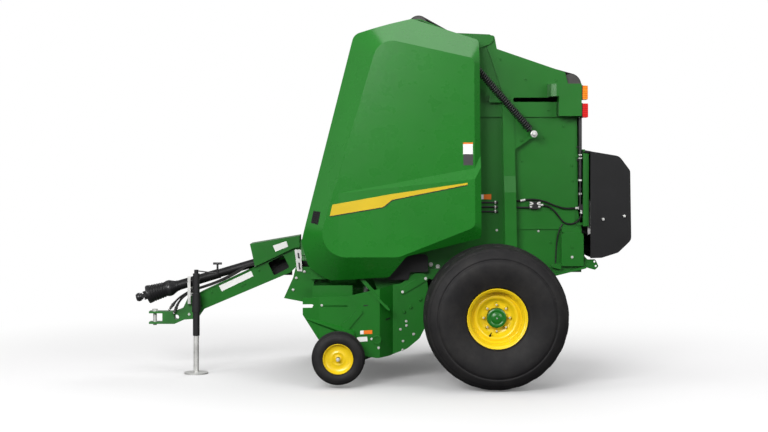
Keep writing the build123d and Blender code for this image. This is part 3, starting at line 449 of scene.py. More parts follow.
def studio():
    """White background, surroundings bright above and dim below, and soft lamps."""
    world = bpy.data.worlds.new("studio")
    bpy.context.scene.world = world
    world.use_nodes = True
    s = Nodes(world.node_tree)
    back = s.tree.nodes["Background"]
    back.inputs["Color"].default_value = (1, 1, 1, 1)
    parts = s.node("ShaderNodeSeparateXYZ")
    s.link(s.coordinates.outputs["Generated"], parts.inputs[0])
    s.link(s.spread(parts.outputs["Z"], 0.025, 0.42, -0.02, 0.16), back.inputs["Strength"])
    bright = s.node("ShaderNodeBackground", {"Color": (1, 1, 1, 1), "Strength": 1.0})
    s.show(back, bright, "World Output")

    area_light("key", (-2.6, -8.6, 4.6), (0, 0, 1.2), (4.0, 3.0), 690)
    area_light("fill", (5.5, -7.0, 3.5), (0.3, 0, 1.2), (4.0, 3.0), 230)
    area_light("top", (0.5, -0.5, 7.5), (0.3, 0, 1.0), (6.0, 5.0), 170)
    area_light("side", (-7.5, -4.5, 3.6), (-0.5, 0, 1.4), (3.0, 4.0), 210)
    area_light("back", (3.0, 6.0, 5.0), (0.3, 0, 1.2), (5.0, 3.0), 300)


def camera():
    """Level side view from the left, framed with a little shift."""
    data = bpy.data.cameras.new("camera")
    data.sensor_width = 36.0
    data.lens = 68.16
    data.shift_y = -0.0716
    data.clip_end = 200
    view = added("camera", data)
    view.location = (0.062, -11.85, 1.7)
    view.rotation_euler = (radians(90), 0, 0)
    bpy.context.scene.camera = view
    bpy.context.scene.view_settings.view_transform = "Standard"


floor()
studio()
camera()


# ---- hoses
TONGUE_HOSES = {  # radius, Y, length, and X, Z in millimetres from the clamp out
    "tongue_hose_1": (0.008, -0.054, 0.751, [
        (-985, 862), (-1034, 862), (-1098, 826), (-1170, 782), (-1248, 742), (-1330, 708), (-1414, 680),
        (-1496, 654), (-1568, 614), (-1618, 576), (-1648, 536)]),
    "tongue_hose_2": (0.008, -0.073, 0.744, [
        (-985, 856), (-1030, 856), (-1092, 818), (-1164, 775), (-1242, 736), (-1324, 703), (-1408, 676),
        (-1490, 650), (-1556, 606), (-1598, 562), (-1620, 512)]),
    "tongue_hose_3": (0.006, 0.06, 0.748, [
        (-985, 860), (-1032, 860), (-1095, 822), (-1167, 778), (-1245, 738), (-1327, 705), (-1411, 678),
        (-1494, 650), (-1562, 612), (-1608, 570), (-1630, 522)])}
GATE_HOSES = {  # radius, Y, length, and X, Z in millimetres from its coupling
    "gate_hose_upper": (0.007, VALVE_Y, 0.536, [
        (1042, 1391), (1108, 1391), (1178, 1404), (1250, 1402), (1320, 1382), (1388, 1352),
        (1458, 1332), (1518, 1336), (1566, 1336)]),
    "gate_hose_lower": (0.007, VALVE_Y, 0.452, [
        (1262, 1360), (1310, 1360), (1356, 1334), (1396, 1294), (1440, 1230), (1481, 1212),
        (1526, 1215), (1564, 1240), (1585, 1280), (1585, 1322)])}


def hose(name, points, radius, body):
    """A free rubber hose on one smooth line through its route."""
    curve = bpy.data.curves.new(f"{name}_line", "CURVE")
    curve.dimensions = "3D"
    spline = curve.splines.new("NURBS")
    spline.points.add(len(points) - 1)
    for point, place in zip(spline.points, points):
        point.co = (*place, 1)
    spline.order_u = 3
    spline.use_endpoint_u = True
    curve.resolution_u = 10
    curve.bevel_depth = radius
    curve.bevel_resolution = 4
    curve.use_fill_caps = True
    curve.materials.append(MATERIALS["hose_rubber"])
    piece = added(f"{name}_rubber", curve)
    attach(piece, body)
    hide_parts(name)


# Fittings turned round a hose's end: (radius over the hose's own, distance from the end)
FERRULE = mm([(2.5, -2), (3, 1), (1.2, 4), (1.2, 10), (2.4, 12), (2.4, 26), (0.6, 29)])
PLUG = mm([(3.2, 8), (3.8, 12), (3.8, 18), (2.8, 20), (2.8, 24), (3.8, 26), (3.8, 34.5), (1.4, 36.5),
           (1.4, 44), (-0.4, 46), (-0.4, 50), (1.4, 52), (1, 58.5)])
PLUG_TIP = 0.0595


def ferrule(build, end, way, radius):
    """Crimped sleeve and nut of a hose's end; way points along the hose."""
    build.lathe(solid(FERRULE, radius=radius), end, way, 24)
    build.hexagon(Vector(end), way, 2 * radius + 0.006, 0.009, 0.2)


def quick_plug(name, tip, way, radius):
    """Quick coupler plug of a tongue hose: nut, collar and nose."""
    plug = Build()
    plug.hexagon(tip - way * 0.002, way, 2 * radius + 0.01, 0.012, 0.3)
    plug.lathe(solid(PLUG, PLUG_TIP, radius), tip, way, 28)
    return plug.piece(name, "frame", "dark_steel", smooth=30)


def all_hoses():
    """The three hoses along the drawbar and the two between frame side and tailgate valve."""
    ends = Build()
    for name, (radius, y, length, route) in TONGUE_HOSES.items():
        points = [(x, y, z) for x, z in mm(route)]
        tip, before = Vector(points[-1]), Vector(points[-2])
        way = (tip - before).normalized()
        plug = quick_plug(f"{name}_plug", tip, way, radius)
        ferrule(ends, tip, -way, radius)
        hose(name, points, radius, "frame")
    ends.piece("tongue_hose_ferrules", "frame", "black_paint", smooth=30)
    ends = Build()
    for name, (radius, y, length, route) in GATE_HOSES.items():
        points = [Vector((x, y, z)) for x, z in mm(route)]
        for end, beside in ((points[0], points[1]), (points[-1], points[-2])):
            ferrule(ends, end, (beside - end).normalized(), radius)
        hose(name, [tuple(p) for p in points], radius, "tailgate")
    ends.piece("gate_hose_ferrules", "tailgate", "zinc_steel", smooth=30)


all_hoses()


# ---- wheels
def outboard(profile, side):
    """Outline of (radius, distance outboard) points turned to (radius, Y) for one side."""
    return [(r, side * d) for r, d in profile]


def inboard(profile):
    """The same outline on the inner side of the wheel, in reverse order."""
    return [(r, -d) for r, d in reversed(profile)]


RIB_GROOVES = (0.128, 0.066)  # of the main tyre's tread, from its middle
CROWN_R, CROWN_FALL = 0.54, 0.355  # tread's radius and how fast it falls to the sides
NOTCH_DEPTH, TYRE_STEPS = 0.01, 168


def tyre_section():
    """Half section of the main tyre from the bead to the middle rib: (radius, distance)."""
    side = mm([(206, 178), (205, 196.5), (221.5, 200.5), (227.5, 203.5), (231, 208.5), (233, 216),
               (240, 223.5), (243, 224), (260, 234.5), (300, 252), (345, 264), (390, 269), (418, 265.5),
               (427, 262), (433, 255), (440, 252.5), (446, 255.5), (452, 254.5), (470, 244),
               (488, 231.5), (500, 221), (501.5, 216.5), (504.5, 216), (507.5, 213.5), (509, 209),
               (512, 208), (515, 204), (523.5, 178), (531, 145)])
    for groove in RIB_GROOVES:
        crown = CROWN_R - CROWN_FALL * groove ** 2
        side += [(crown, groove + 0.007), (crown - 0.013, groove + 0.005),
                 (crown - 0.013, groove - 0.005), (crown, groove - 0.007)]
    return side


def main_tyre(side, name):
    """Wide ribbed tyre with the rings of its sidewall and notched shoulders."""
    half = tyre_section()
    lining = mm([(512, 0), (496, 180), (437, 236), (310, 234), (206, 174)])
    outer = half + inboard(half)
    profile = outer + inboard(lining) + lining[1:]
    shoulder = range(len(half) - 9, len(half) - 7)
    notched = set(shoulder) | {len(outer) - 1 - k for k in shoulder}
    tyre = Build()
    tyre.lathe(outboard(profile, side), (AXLE.x, side * WHEEL_Y, AXLE.z), Y, TYRE_STEPS)
    for i in range(TYRE_STEPS):
        if i % 7 not in (0, 1):
            continue
        for k in notched:
            p = tyre.points[i * len(profile) + k]
            out = Vector((p.x - AXLE.x, 0, p.z - AXLE.z)).normalized()
            tyre.points[i * len(profile) + k] = p - out * NOTCH_DEPTH
    piece = tyre.piece(f"tyre_{name}_ribbed", f"wheel_{name}", "tyre_rubber", smooth=40)
    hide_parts(f"tyre_{name}")


RIM_PROFILE = mm([(222.5, 201.5), (224.5, 205), (222.5, 208.5), (218, 208.8), (214, 205), (211.5, 199),
                  (204, 196.5), (200, 190), (199, 174), (196.5, 168), (191.5, 164), (189.5, 156),
                  (188.5, 130), (186.5, 119), (181, 113), (172.5, 113.5), (165, 119.5), (156, 123),
                  (147, 120.5), (140, 114), (132, 103), (124, 95), (112, 88), (100, 84.8), (73.5, 84.5),
                  (73.5, 76.5), (100, 76.8), (120, 85), (135, 99), (147, 112), (157, 114), (168, 108),
                  (180, 103), (190, 106), (194, 90), (194, -190), (211.5, -197.5), (222.5, -202),
                  (224.5, -206), (220, -208.5), (205, -200), (203, 190), (211, 196.5)])


def main_rim(side, name):
    """Pressed disc wheel with its rolled lip, rings and dish."""
    rim = Build()
    rim.lathe(outboard(RIM_PROFILE, side), (AXLE.x, side * WHEEL_Y, AXLE.z), Y, 96)
    piece = rim.piece(f"rim_{name}_pressed", f"wheel_{name}", "yellow_paint", smooth=50)
    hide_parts(f"rim_{name}")


DISC_FACE, HUB_FACE = 0.0845, 0.139  # outer faces of the wheel's disc and of its hub's cap
NUT_COUNT, NUT_CIRCLE = 8, 0.0975
HUB_CAP = mm([(71.5, -30), (72.2, -6), (70.5, 1), (64, 4), (50, 5), (47, 2.5), (40, 2.5), (36, 6.5),
              (22, 9.5), (10, 10)])


def wheel_fittings(side, name):
    """Wheel nuts on their studs, the hub cap with its nipple, and the valve."""
    def spot(x, out, z):
        """Point at X, distance outboard and Z from the middle of the wheel."""
        return Vector((AXLE.x + x, side * (WHEEL_Y + out), AXLE.z + z))

    axis, body = Vector((0, side, 0)), f"wheel_{name}"
    nuts, studs = Build(), Build()
    for i in range(NUT_COUNT):
        turn = 2 * pi * i / NUT_COUNT
        place = spot(NUT_CIRCLE * cos(turn), DISC_FACE, NUT_CIRCLE * sin(turn))
        nuts.disc(place, axis, 0.0155, 0.003, 20)
        nuts.hexagon(place + axis * 0.003, axis, 0.024, 0.017, turn + 0.3)
        studs.disc(place + axis * 0.018, axis, 0.0065, 0.014, 12)
    nuts.piece(f"wheel_nuts_{name}", body, "yellow_paint")
    studs.piece(f"wheel_studs_{name}", body, "zinc_steel")
    cap, start = Build(), spot(0, HUB_FACE, 0)
    cap.lathe(solid(HUB_CAP), start, axis, 48)
    cap.piece(f"hub_cap_{name}", body, "green_paint", smooth=50)
    nipple = Build()
    nipple.disc(start + axis * 0.01, axis, 0.0055, 0.008, 12)
    nipple.disc(start + axis * 0.018, axis, 0.0035, 0.004, 12)
    nipple.piece(f"hub_nipple_{name}", body, "zinc_steel")
    valve, base, tip = Build(), spot(-0.052, 0.112, -0.139), spot(-0.04, 0.136, -0.109)
    valve.bar(base, base.lerp(tip, 0.3), 0.0085, 14)
    valve.bar(base.lerp(tip, 0.25), tip, 0.0048, 12)
    valve.piece(f"valve_{name}", body, "hose_rubber")


GAUGE_SIDE = mm([(112, 58), (112.5, 66.5), (118, 71.5), (126, 77), (140, 81.2), (156, 81.2), (170, 77),
                 (174, 73.5), (176, 73.5), (185, 66), (192, 54.5), (196.2, 42), (197.5, 36.5),
                 (190.5, 35), (190.5, 29), (198.7, 27.5), (199.8, 10.5), (192.5, 9), (192.5, 0)])
GAUGE_DISH = mm([(111, 66), (113.5, 72), (112.5, 75.2), (109.5, 75.5), (106.5, 73), (105, 65),
                 (101, 57), (90, 50), (72, 46.5), (56, 47.5), (50, 51), (45, 51.5), (40, 48), (29, 42),
                 (17, 41.5), (17, 38), (40, 43), (56, 44), (72, 42.5), (90, 45.5), (102, 53), (104, 50),
                 (104, -64), (112.5, -72), (111, -66), (108, -60), (108, 60)])


def gauge_wheel(side, name):
    """Ribbed tyre, dished rim with its hub ring, and axle nut of a pickup gauge wheel."""
    axis, centre = Vector((0, side, 0)), Vector((GAUGE.x, side * GAUGE_Y, GAUGE.z))
    tyre = Build()
    lining = mm([(184, 40), (150, 70), (112, 50)])
    profile = GAUGE_SIDE + inboard(GAUGE_SIDE[:-1]) + inboard(lining) + lining
    tyre.lathe(outboard(profile, side), centre, Y, 96)
    piece = tyre.piece(f"gauge_tyre_{name}_ribbed", f"gauge_wheel_{name}", "tyre_rubber", smooth=40)
    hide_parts(f"gauge_tyre_{name}")
    rim = Build()
    hub_ring = mm([(34, -50), (34, 40), (24, 42), (24, 58), (20.5, 61), (15.5, 61), (15.5, -50)])
    rim.lathe(outboard(GAUGE_DISH, side), centre, Y, 72)
    rim.lathe(outboard(hub_ring, side), centre, Y, 40)
    piece = rim.piece(f"gauge_rim_{name}_dished", f"gauge_wheel_{name}", "yellow_paint", smooth=45)
    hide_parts(f"gauge_rim_{name}")
    nut = Build()
    nut.hexagon(centre + axis * 0.0965, axis, 0.019, 0.009, 0.2)
    nut.disc(centre + axis * 0.0945, axis, 0.014, 0.003, 24)
    nut.piece(f"gauge_axle_nut_{name}", "pickup", "zinc_steel")


for side, name in SIDES:
    main_tyre(side, name)
    main_rim(side, name)
    wheel_fittings(side, name)
    gauge_wheel(side, name)


# ---- decals, plates and bolts
SHIELD_SKIN = surface("shield_left", "shield_right")
ORANGE = paint("orange_film", (0.8, 0.17, 0.01), 0.4, 0.3)
WHITE = paint("white_film", (0.78, 0.78, 0.76), 0.4, 0.3)
GREY_FILM = paint("grey_film", (0.045, 0.042, 0.045), 0.45, 0.3)


def film(name, outline, tree, side, body, slot, material=None, lift=0.0012):
    """A thin film laid on the skin of a side: outline is (X, Z) points on one flat face."""
    spots = [skin(tree, x, z, side) for x, z in outline]
    normal = sum((n for _, n in spots), Vector()).normalized()
    sheet = Build()
    sheet.prism([p + normal * lift for p, _ in spots], -normal * (lift + 0.0004))
    sheet.piece(name, body, slot, material)


STRIPE = mm([(-326, 1372), (-345, 1286), (47, 1353), (66, 1362), (122, 1409), (687, 1523), (687, 1537),
             (113, 1451)])
# Thin strip under the stripe's lower edge, drawn in black: painted shadow of the stripe.
STRIPE_SHADOW = [STRIPE[1], *mm([(-347, 1279), (50, 1346), (70, 1355), (126, 1402), (687, 1516)]),
               *STRIPE[5:1:-1]]
VENT = mm([(-472, 1322), (-418, 1317), (-435, 1220), (-491, 1231)])


def shield_graphics(side, name):
    """Plain stripe with a thin black film along its lower edge as painted shadow, and the black vent of a
    side shield.
    """
    body = f"shield_{name}"
    film(f"stripe_{name}", STRIPE, SHIELD_SKIN, side, body, "yellow_paint", MATERIALS["stripe_yellow"])
    # Black film under the stripe: painted shadow.
    film(f"stripe_painted_shadow_{name}", STRIPE_SHADOW, SHIELD_SKIN, side, body, "black_paint")
    film(f"vent_{name}", VENT, SHIELD_SKIN, side, body, "black_plastic", lift=0.002)
    (x0, z0), (x1, z1), (x2, z2), (x3, z3) = VENT
    bars = Build()
    for i in range(6):
        t = (i + 0.7) / 6.4
        a, n = skin(SHIELD_SKIN, x0 + (x3 - x0) * t + 0.007, z0 + (z3 - z0) * t, side)
        b, _ = skin(SHIELD_SKIN, x1 + (x2 - x1) * t - 0.007, z1 + (z2 - z1) * t, side)
        bars.bar(a + n * 0.0025, b + n * 0.0025, 0.0028, 8)
    bars.piece(f"vent_bars_{name}", body, "black_plastic")


def shield_plate():
    """Blank plate of three fields, on the left shield only, the one the photograph shows."""
    fields = [(0.656, 0.729, 1.839, 1.828, ORANGE), (0.656, 0.729, 1.827, 1.752, WHITE),
              (0.658, 0.731, 1.751, 1.668, GREY_FILM)]
    for i, (left, right, high, low, material) in enumerate(fields):
        film(f"blank_plate_{i + 1}", [(left, high), (right, high), (right, low), (left, low)],
             SHIELD_SKIN, LEFT, "shield_left", "shield_green", material)


for side, name in SIDES:
    shield_graphics(side, name)
shield_plate()


BLANK_PLATES = [  # name, body, distance of the left face it is on, material, (X, Z) in millimetres
    ("drawbar_plate", "frame", 0.09, WHITE, [(-1273, 690), (-1013, 811), (-994, 769), (-1250, 646)]),
    ("hood_plate", "frame", 0.122, WHITE, [(-834, 1017), (-727, 1054), (-711, 1010), (-813, 968)]),
    ("pickup_plate_white", "pickup", PANEL_Y, WHITE, [(-119, 413), (-92, 415), (-92, 387), (-119, 385)]),
    ("pickup_plate_orange", "pickup", PANEL_Y, ORANGE, [(-91, 415), (-27, 417), (-27, 389), (-91, 387)]),
    ("pickup_plate_low", "pickup", PANEL_Y, WHITE, [(-145, 363), (-66, 368), (-62, 332), (-136, 328)]),
    ("side_plate_white", "frame", SHEET_Y, WHITE, [(809, 1440), (832, 1441), (832, 1404), (809, 1404)]),
    ("side_plate_orange", "frame", SHEET_Y, ORANGE, [(833, 1441), (891, 1444), (891, 1403), (833, 1404)])]


def blank_plates():
    """Blank plates stuck on the flat faces of the left side, where the photograph has signs."""
    for name, body, y, material, outline in BLANK_PLATES:
        plate = Build()
        plate.slab(mm(outline), -y - 0.0015, 0.0012)
        plate.piece(name, body, "green_paint", material)


blank_plates()

BOLTS = [  # body, slot, distance of the face they are on, width across flats, (X, Z) in millimetres
    ("tailgate", "green_paint", SHEET_Y, 0.014,
     [(962, 2487), (1159, 2334), (1397, 2325), (1448, 1969), (1513, 1664), (1522, 1547),
      (1353, 1070), (1130, 1700), (1300, 1880)]),
    ("tailgate", "zinc_steel", SHEET_Y, 0.011, [(1256, 1158)]),
    ("tailgate", "green_paint", 0.646, 0.014, [(1512, 1036)]),
    ("tailgate", "zinc_steel", 0.646, 0.014, [(1512, 959)]),
    ("tailgate", "green_paint", 0.622, 0.014, [(1060, 2095), (1330, 2095), (420, 2100)]),
    ("frame", "green_paint", 0.661, 0.017, [(1121, 1858), (1130, 1960)]),
    ("frame", "zinc_steel", 0.655, 0.016, [(560, 830)]),
    ("frame", "zinc_steel", SHEET_Y, 0.022, [(424, 900), (349, 947), (479, 884)]),
    ("frame", "zinc_steel", SHEET_Y, 0.012, [(935, 1165), (700, 1180)]),
    ("pickup", "zinc_steel", PANEL_REAR_Y, 0.0125,
     [(235, 437), (188, 408), (208, 318), (233, 470), (290, 372), (204, 250)]),
    ("pickup", "green_paint", PANEL_REAR_Y, 0.022, [(215, 543), (266, 578), (340, 640)]),
    ("pickup", "zinc_steel", PANEL_Y, 0.0125, [(-410, 605), (21, 283), (-31, 350)]),
    ("frame", "green_paint", 0.09, 0.014, [(-1087, 692), (-1064, 706), (-952, 816), (-1330, 640)]),
    ("frame", "zinc_steel", 0.045, 0.014, [(-1470, 480), (-1450, 560), (-1520, 455)]),
    ("frame", "zinc_steel", 0.612, 0.013, [(-616, 797), (-553, 845), (-640, 705)])]


def bolt_rows():
    """Bolts with their washers on both sides, one piece for each row of the table."""
    for i, (body, slot, y, across, places) in enumerate(BOLTS):
        heads = Build()
        for side in BOTH:
            for k, (x, z) in enumerate(mm(places)):
                heads.bolt((x, side * y, z), (0, side, 0), across, turn=0.4 + k)
        heads.piece(f"bolts_{i + 1:02d}", body, slot)


bolt_rows()


# ---- springs
SPRING_Y, SPRING_NUT_Y = 0.735, 0.748
SPRING_TOP, SPRING_LOW = Vector((0.64, 0, 2.558)), Vector((1.207, 0, 1.907))  # pins' X and Z
COIL_WIRE, COIL_R, COIL_PITCH, COIL_STEPS = 0.006, 0.0248, 0.018, 14


def tension_springs():
    """Close-wound tension springs with their hooks, over the plain tubes."""
    coil = Build()
    for side in BOTH:
        top = SPRING_TOP + Vector((0, side * SPRING_Y, 0))
        low = SPRING_LOW + Vector((0, side * SPRING_Y, 0))
        along = (low - top).normalized()
        first, last = top + along * 0.072, low - along * 0.047
        length, across = (last - first).length, Vector(Y)
        other = along.cross(across)
        steps = int(length / COIL_PITCH) * COIL_STEPS
        path = []
        for i in range(steps + 1):
            turn = 2 * pi * i / COIL_STEPS
            spot = first + along * (length * i / steps)
            path.append(spot + (across * cos(turn) + other * sin(turn)) * COIL_R)
        coil.tube(path, COIL_WIRE, 8)
        for end, way in ((first, -along), (last, along)):
            coil.disc(end, way, 0.0285, 0.006, 24)
        coil.bar(top + along * 0.018, first, 0.009, 14)
        coil.bar(last, low - along * 0.013, 0.009, 14)
    piece = coil.piece("tension_springs_coiled", "frame", "black_paint", smooth=50)
    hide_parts("tension_springs")
    nuts = Build()
    for side in BOTH:
        for spot, radius in ((SPRING_TOP, 0.024), (SPRING_LOW, 0.026)):
            start = spot + Vector((0, side * SPRING_NUT_Y, 0))
            nuts.disc(start, (0, side, 0), radius, 0.008, 28)
            nuts.lathe(solid([(0.018, 0), (0.0185, 0.014), (0.013, 0.02)], 0.021),
                       start + Vector((0, side * 0.008, 0)), (0, side, 0), 6)
    nuts.piece("spring_nuts", "frame", "zinc_steel")


tension_springs()


# ---- driveline
MOUNT = next(m for m in frame["record"]["mounts"] if m["name"] == "driveline_bore")
YOKE_TIP, SHAFT_WAY = Vector(MOUNT["pos_m"]), -Vector(MOUNT["axis"]).normalized()
GUARD_RIBS, SPLINES = 6, 21


def driveline():
    """Ribbed bell guard and plastic tubes over the plain shaft."""
    profile = mm([(66, 95.5), (70, 97), (72.5, 105), (73, 118)])
    for i in range(GUARD_RIBS):
        d, r = 0.124 + 0.0205 * i, 0.0705 - 0.0018 * i
        profile += [(r, d), (r + 0.0014, d + 0.006), (r - 0.0036, d + 0.0105), (r - 0.0036, d + 0.0165)]
    profile += mm([(60, 252), (62.5, 260), (63, 296), (59, 305), (48, 330), (43, 342), (43, 356), (40, 360),
                   (39.5, 520), (38.5, 695), (40, 697), (40, 706), (34.5, 709), (34, 720), (34, 1150),
                   (48, 1170), (50, 1205)])
    shaft = Build()
    shaft.lathe(solid(profile), YOKE_TIP, SHAFT_WAY, 56)
    piece = shaft.piece("driveline_guard", "frame", "black_plastic", smooth=32)
    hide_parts("driveline")
    rings = Build()
    rings.lathe(mm([(63.6, 264), (65, 267), (65, 290), (63.6, 293)]), YOKE_TIP, SHAFT_WAY, 48)
    rings.lathe(mm([(71.5, 94.5), (74.2, 100), (74.2, 111), (71.5, 114)]), YOKE_TIP, SHAFT_WAY, 48)
    rings.piece("driveline_rings", "frame", "black_paint", smooth=40)


def driveline_yoke():
    """Splined sleeve with its lock collar, the two forks and the cross between them."""
    tip, way, sleeve = YOKE_TIP, SHAFT_WAY, Build()
    sleeve.lathe(mm([(17.6, 0), (26.5, 0), (29, 3), (29, 8), (33.8, 11), (34.5, 15), (34.5, 30), (33, 34),
                     (28, 37), (27, 50), (17.6, 50)]), tip, way, 48)
    side = Vector(Y)
    up = way.cross(side)
    for arm in (-1, 1):  # one arm of each fork
        for out, wide, start, reach in ((side, up, 0.047, 0.04), (up, side, 0.062, 0.034)):
            centre, half = tip + way * start + out * arm * 0.0285, out * 0.0055
            a, b = centre - wide * 0.017, centre + wide * 0.017
            sleeve.prism([a - half, b - half, b + half, a + half], way * reach)
    cross = tip + way * 0.074
    for out in (side, up):
        sleeve.bar(cross - out * 0.035, cross + out * 0.035, 0.0105, 20)
    sleeve.disc(tip + way * 0.09, way, 0.03, 0.006, 32)
    for i in range(SPLINES):
        turn = 2 * pi * i / SPLINES
        out = side * cos(turn) + up * sin(turn)
        sleeve.bar(tip + out * 0.0178 + way * 0.001, tip + out * 0.0178 + way * 0.047, 0.0013, 6)
    piece = sleeve.piece("driveline_yoke_splined", "frame", "black_paint")
    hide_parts("driveline_yoke")


driveline()
driveline_yoke()


# ---- tailgate side
RAM_LINE = Vector((1.576, -0.626, 0.0))  # the upright net ram, X and Y
CLAMPS, RAM_TOP = (1.748, 1.722), 2.03  # Z of its silver clamps and of its cap


def upright_ram():
    """Clamps, nuts and end cap of the upright net ram."""
    rings, nuts = Build(), Build()
    for z in CLAMPS:
        rings.lathe(mm([(13.2, -4), (15.2, -3), (15.2, 3), (13.2, 4)]), (RAM_LINE.x, RAM_LINE.y, z), Z, 28)
        rings.box((RAM_LINE.x + 0.002, RAM_LINE.y - 0.022, z - 0.005),
                  (RAM_LINE.x + 0.01, RAM_LINE.y - 0.013, z + 0.005))
    rings.piece("net_ram_clamps", "tailgate", "zinc_steel")
    for z, across in ((1.447, 0.025), (1.553, 0.026)):
        nuts.hexagon((RAM_LINE.x, VALVE_Y, z - 0.008), Z, across, 0.016, 0.3)
    nuts.lathe(solid([(0.0132, 0), (0.0136, 0.004), (0.012, 0.01)], 0.011),
               (RAM_LINE.x, RAM_LINE.y, RAM_TOP), Z, 28)
    nuts.piece("net_ram_nuts", "tailgate", "zinc_steel", smooth=30)


PIPES_Y = -0.614  # of the three oil pipes along the left side sheet


def pipe_ends():
    """Unions on the side's oil pipes; collars, bolts, nuts and a sleeve on the gate's valve."""
    unions = Build()
    nuts = ((0.916, 0.023, 0.012, 0.1), (0.93, 0.019, 0.009, 0.3), (0.566, 0.021, 0.012, 0.2))
    for z in (1.31, 1.345, 1.38):  # the pipes, from the lowest up
        for x, across, height, turn in nuts:
            unions.hexagon((x, PIPES_Y, z), X, across, height, turn)
    unions.piece("side_pipe_unions", "frame", "zinc_steel", smooth=30)
    blocks = Build()
    for x, z in ((1.043, 1.391), (1.263, 1.36), (1.193, 1.342), (1.043, 1.342)):
        blocks.disc((x - 0.003, VALVE_Y, z), X, 0.0105, 0.006, 24)
    for x, z in ((1.015, 1.365), (1.033, 1.365), (1.205, 1.372), (1.249, 1.372)):
        blocks.bolt((x, -0.637 if x < 1.1 else -0.639, z), (0, -1, 0), 0.011)
    for z in (1.345, 1.362, 1.379):
        for x in (1.186, 1.25):
            blocks.hexagon((x, VALVE_Y - 0.009, z), X, 0.0145, 0.018, 0.3)
    blocks.bar((1.114, VALVE_Y, 1.3925), (1.152, VALVE_Y, 1.4005), 0.0092, 20)
    blocks.piece("gate_block_fittings", "tailgate", "zinc_steel", smooth=30)


LAMP_WIDTH = 0.13


def lamp_detail():
    """Dark bases and screws of the amber and red lamps on both sides."""
    bases, screws = Build(), Build()
    for node in ("lamps_amber", "lamps_red"):
        low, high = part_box(node)
        for side in BOTH:
            bases.box((low.x - 0.0005, side * (high.y - LAMP_WIDTH), low.z - 0.003),
                      (low.x + 0.009, side * (high.y - 0.002), high.z + 0.003))
            for z in (low.z + 0.012, high.z - 0.012):
                screws.disc((high.x - 0.002, side * (high.y - 0.03), z), X, 0.004, 0.003, 12)
    bases.piece("lamp_bases", "tailgate", "black_plastic")
    screws.piece("lamp_screws", "tailgate", "zinc_steel")


upright_ram()
pipe_ends()
lamp_detail()


# ---- net cover
COVER_Y = 0.68  # outer face of the net cover's moulded ends


def cover_fixings():
    """Turned recesses and screws that hold the moulded ends of the net cover."""
    bolts, cups = Build(), Build()
    for side in BOTH:
        for x, z, across in ((1.747, 1.253, 0.013), (1.91, 1.277, 0.012)):
            spot = Vector((x, side * COVER_Y, z))
            cups.lathe([(across * 1.5, -0.001), (across * 1.5, 0.0015), (across * 1.15, 0.0028),
                        (across, 0.0012), (across, -0.001)], spot, (0, side, 0), 32)
            bolts.bolt(spot, (0, side, 0), across)
    cups.piece("net_cover_cups", "net_cover", "black_plastic")
    bolts.piece("net_cover_screws", "net_cover", "zinc_steel")


cover_fixings()


# ---- belts and reel
BELT_COUNT, BELT_PITCH, BELT_FIRST = 7, 0.16167, -0.485  # middle of each belt across the machine
HOOK_COUNT, HOOK_PITCH, LACING_HALF = 13, 0.0112, 0.072


def belt_lacing(name, node, body, x):
    """Row of steel hooks that joins each belt's ends, where the belts run over the top at X."""
    tree, lacing = surface(node), Build()
    for i in range(BELT_COUNT):
        y = BELT_FIRST + BELT_PITCH * i
        spot, normal, _, _ = tree.ray_cast(Vector((x, y, 3.2)), Vector((0, 0, -1)))
        along, pin = normal.cross(Vector(Y)).normalized(), Vector((0, LACING_HALF, 0))
        for k in range(HOOK_COUNT):
            place = spot + Vector((0, (k - HOOK_COUNT // 2) * HOOK_PITCH, 0))
            lacing.bar(place - along * 0.013, place + along * 0.013, 0.0017, 6)
        lacing.bar(spot - pin, spot + pin, 0.0018, 6)
    lacing.piece(name, body, "zinc_steel")


belt_lacing("front_belt_lacing", "front_belts", "frame", 0.18)
belt_lacing("gate_belt_lacing", "gate_belts", "tailgate", 1.24)

REEL, REEL_HALF = middle("pickup_reel"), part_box("pickup_reel")[1].y  # middle and half the length
TINE_TIP, TINE_BAR, TINE_PITCH, TINE_COUNT = 0.185, 0.092, 0.068, 22
DISC_R, SHAFT_R, BORE_R, BAR_R = 0.112, 0.045, 0.0205, 0.014


def spring_tine(build, bar, out, y, inward):
    """One prong with the coil at its root, wound round the bar towards its twin."""
    wire, turns, steps = 0.0029, 3.5, 12
    ring = BAR_R + wire + 0.0005
    back = Vector((0, inward, 0)).cross(out)
    path = []
    for i in range(int(turns * steps) + 1):
        turn = 2 * pi * i / steps
        path.append(bar + Vector((0, y + inward * (0.0062 * (turns - i / steps)), 0))
                    + back * (ring * cos(turn)) + out * (ring * sin(turn)))
    side = path[-1] - bar - Vector((0, path[-1].y - bar.y, 0))
    root = bar + Vector((0, y, 0)) + side
    reach = TINE_TIP - TINE_BAR
    way = out * reach - side
    path += [root + way * t + out.cross(Vector(Y)) * (0.006 * t * t) for t in (0.3, 0.65, 1.0)]
    build.tube(path, wire, 6)


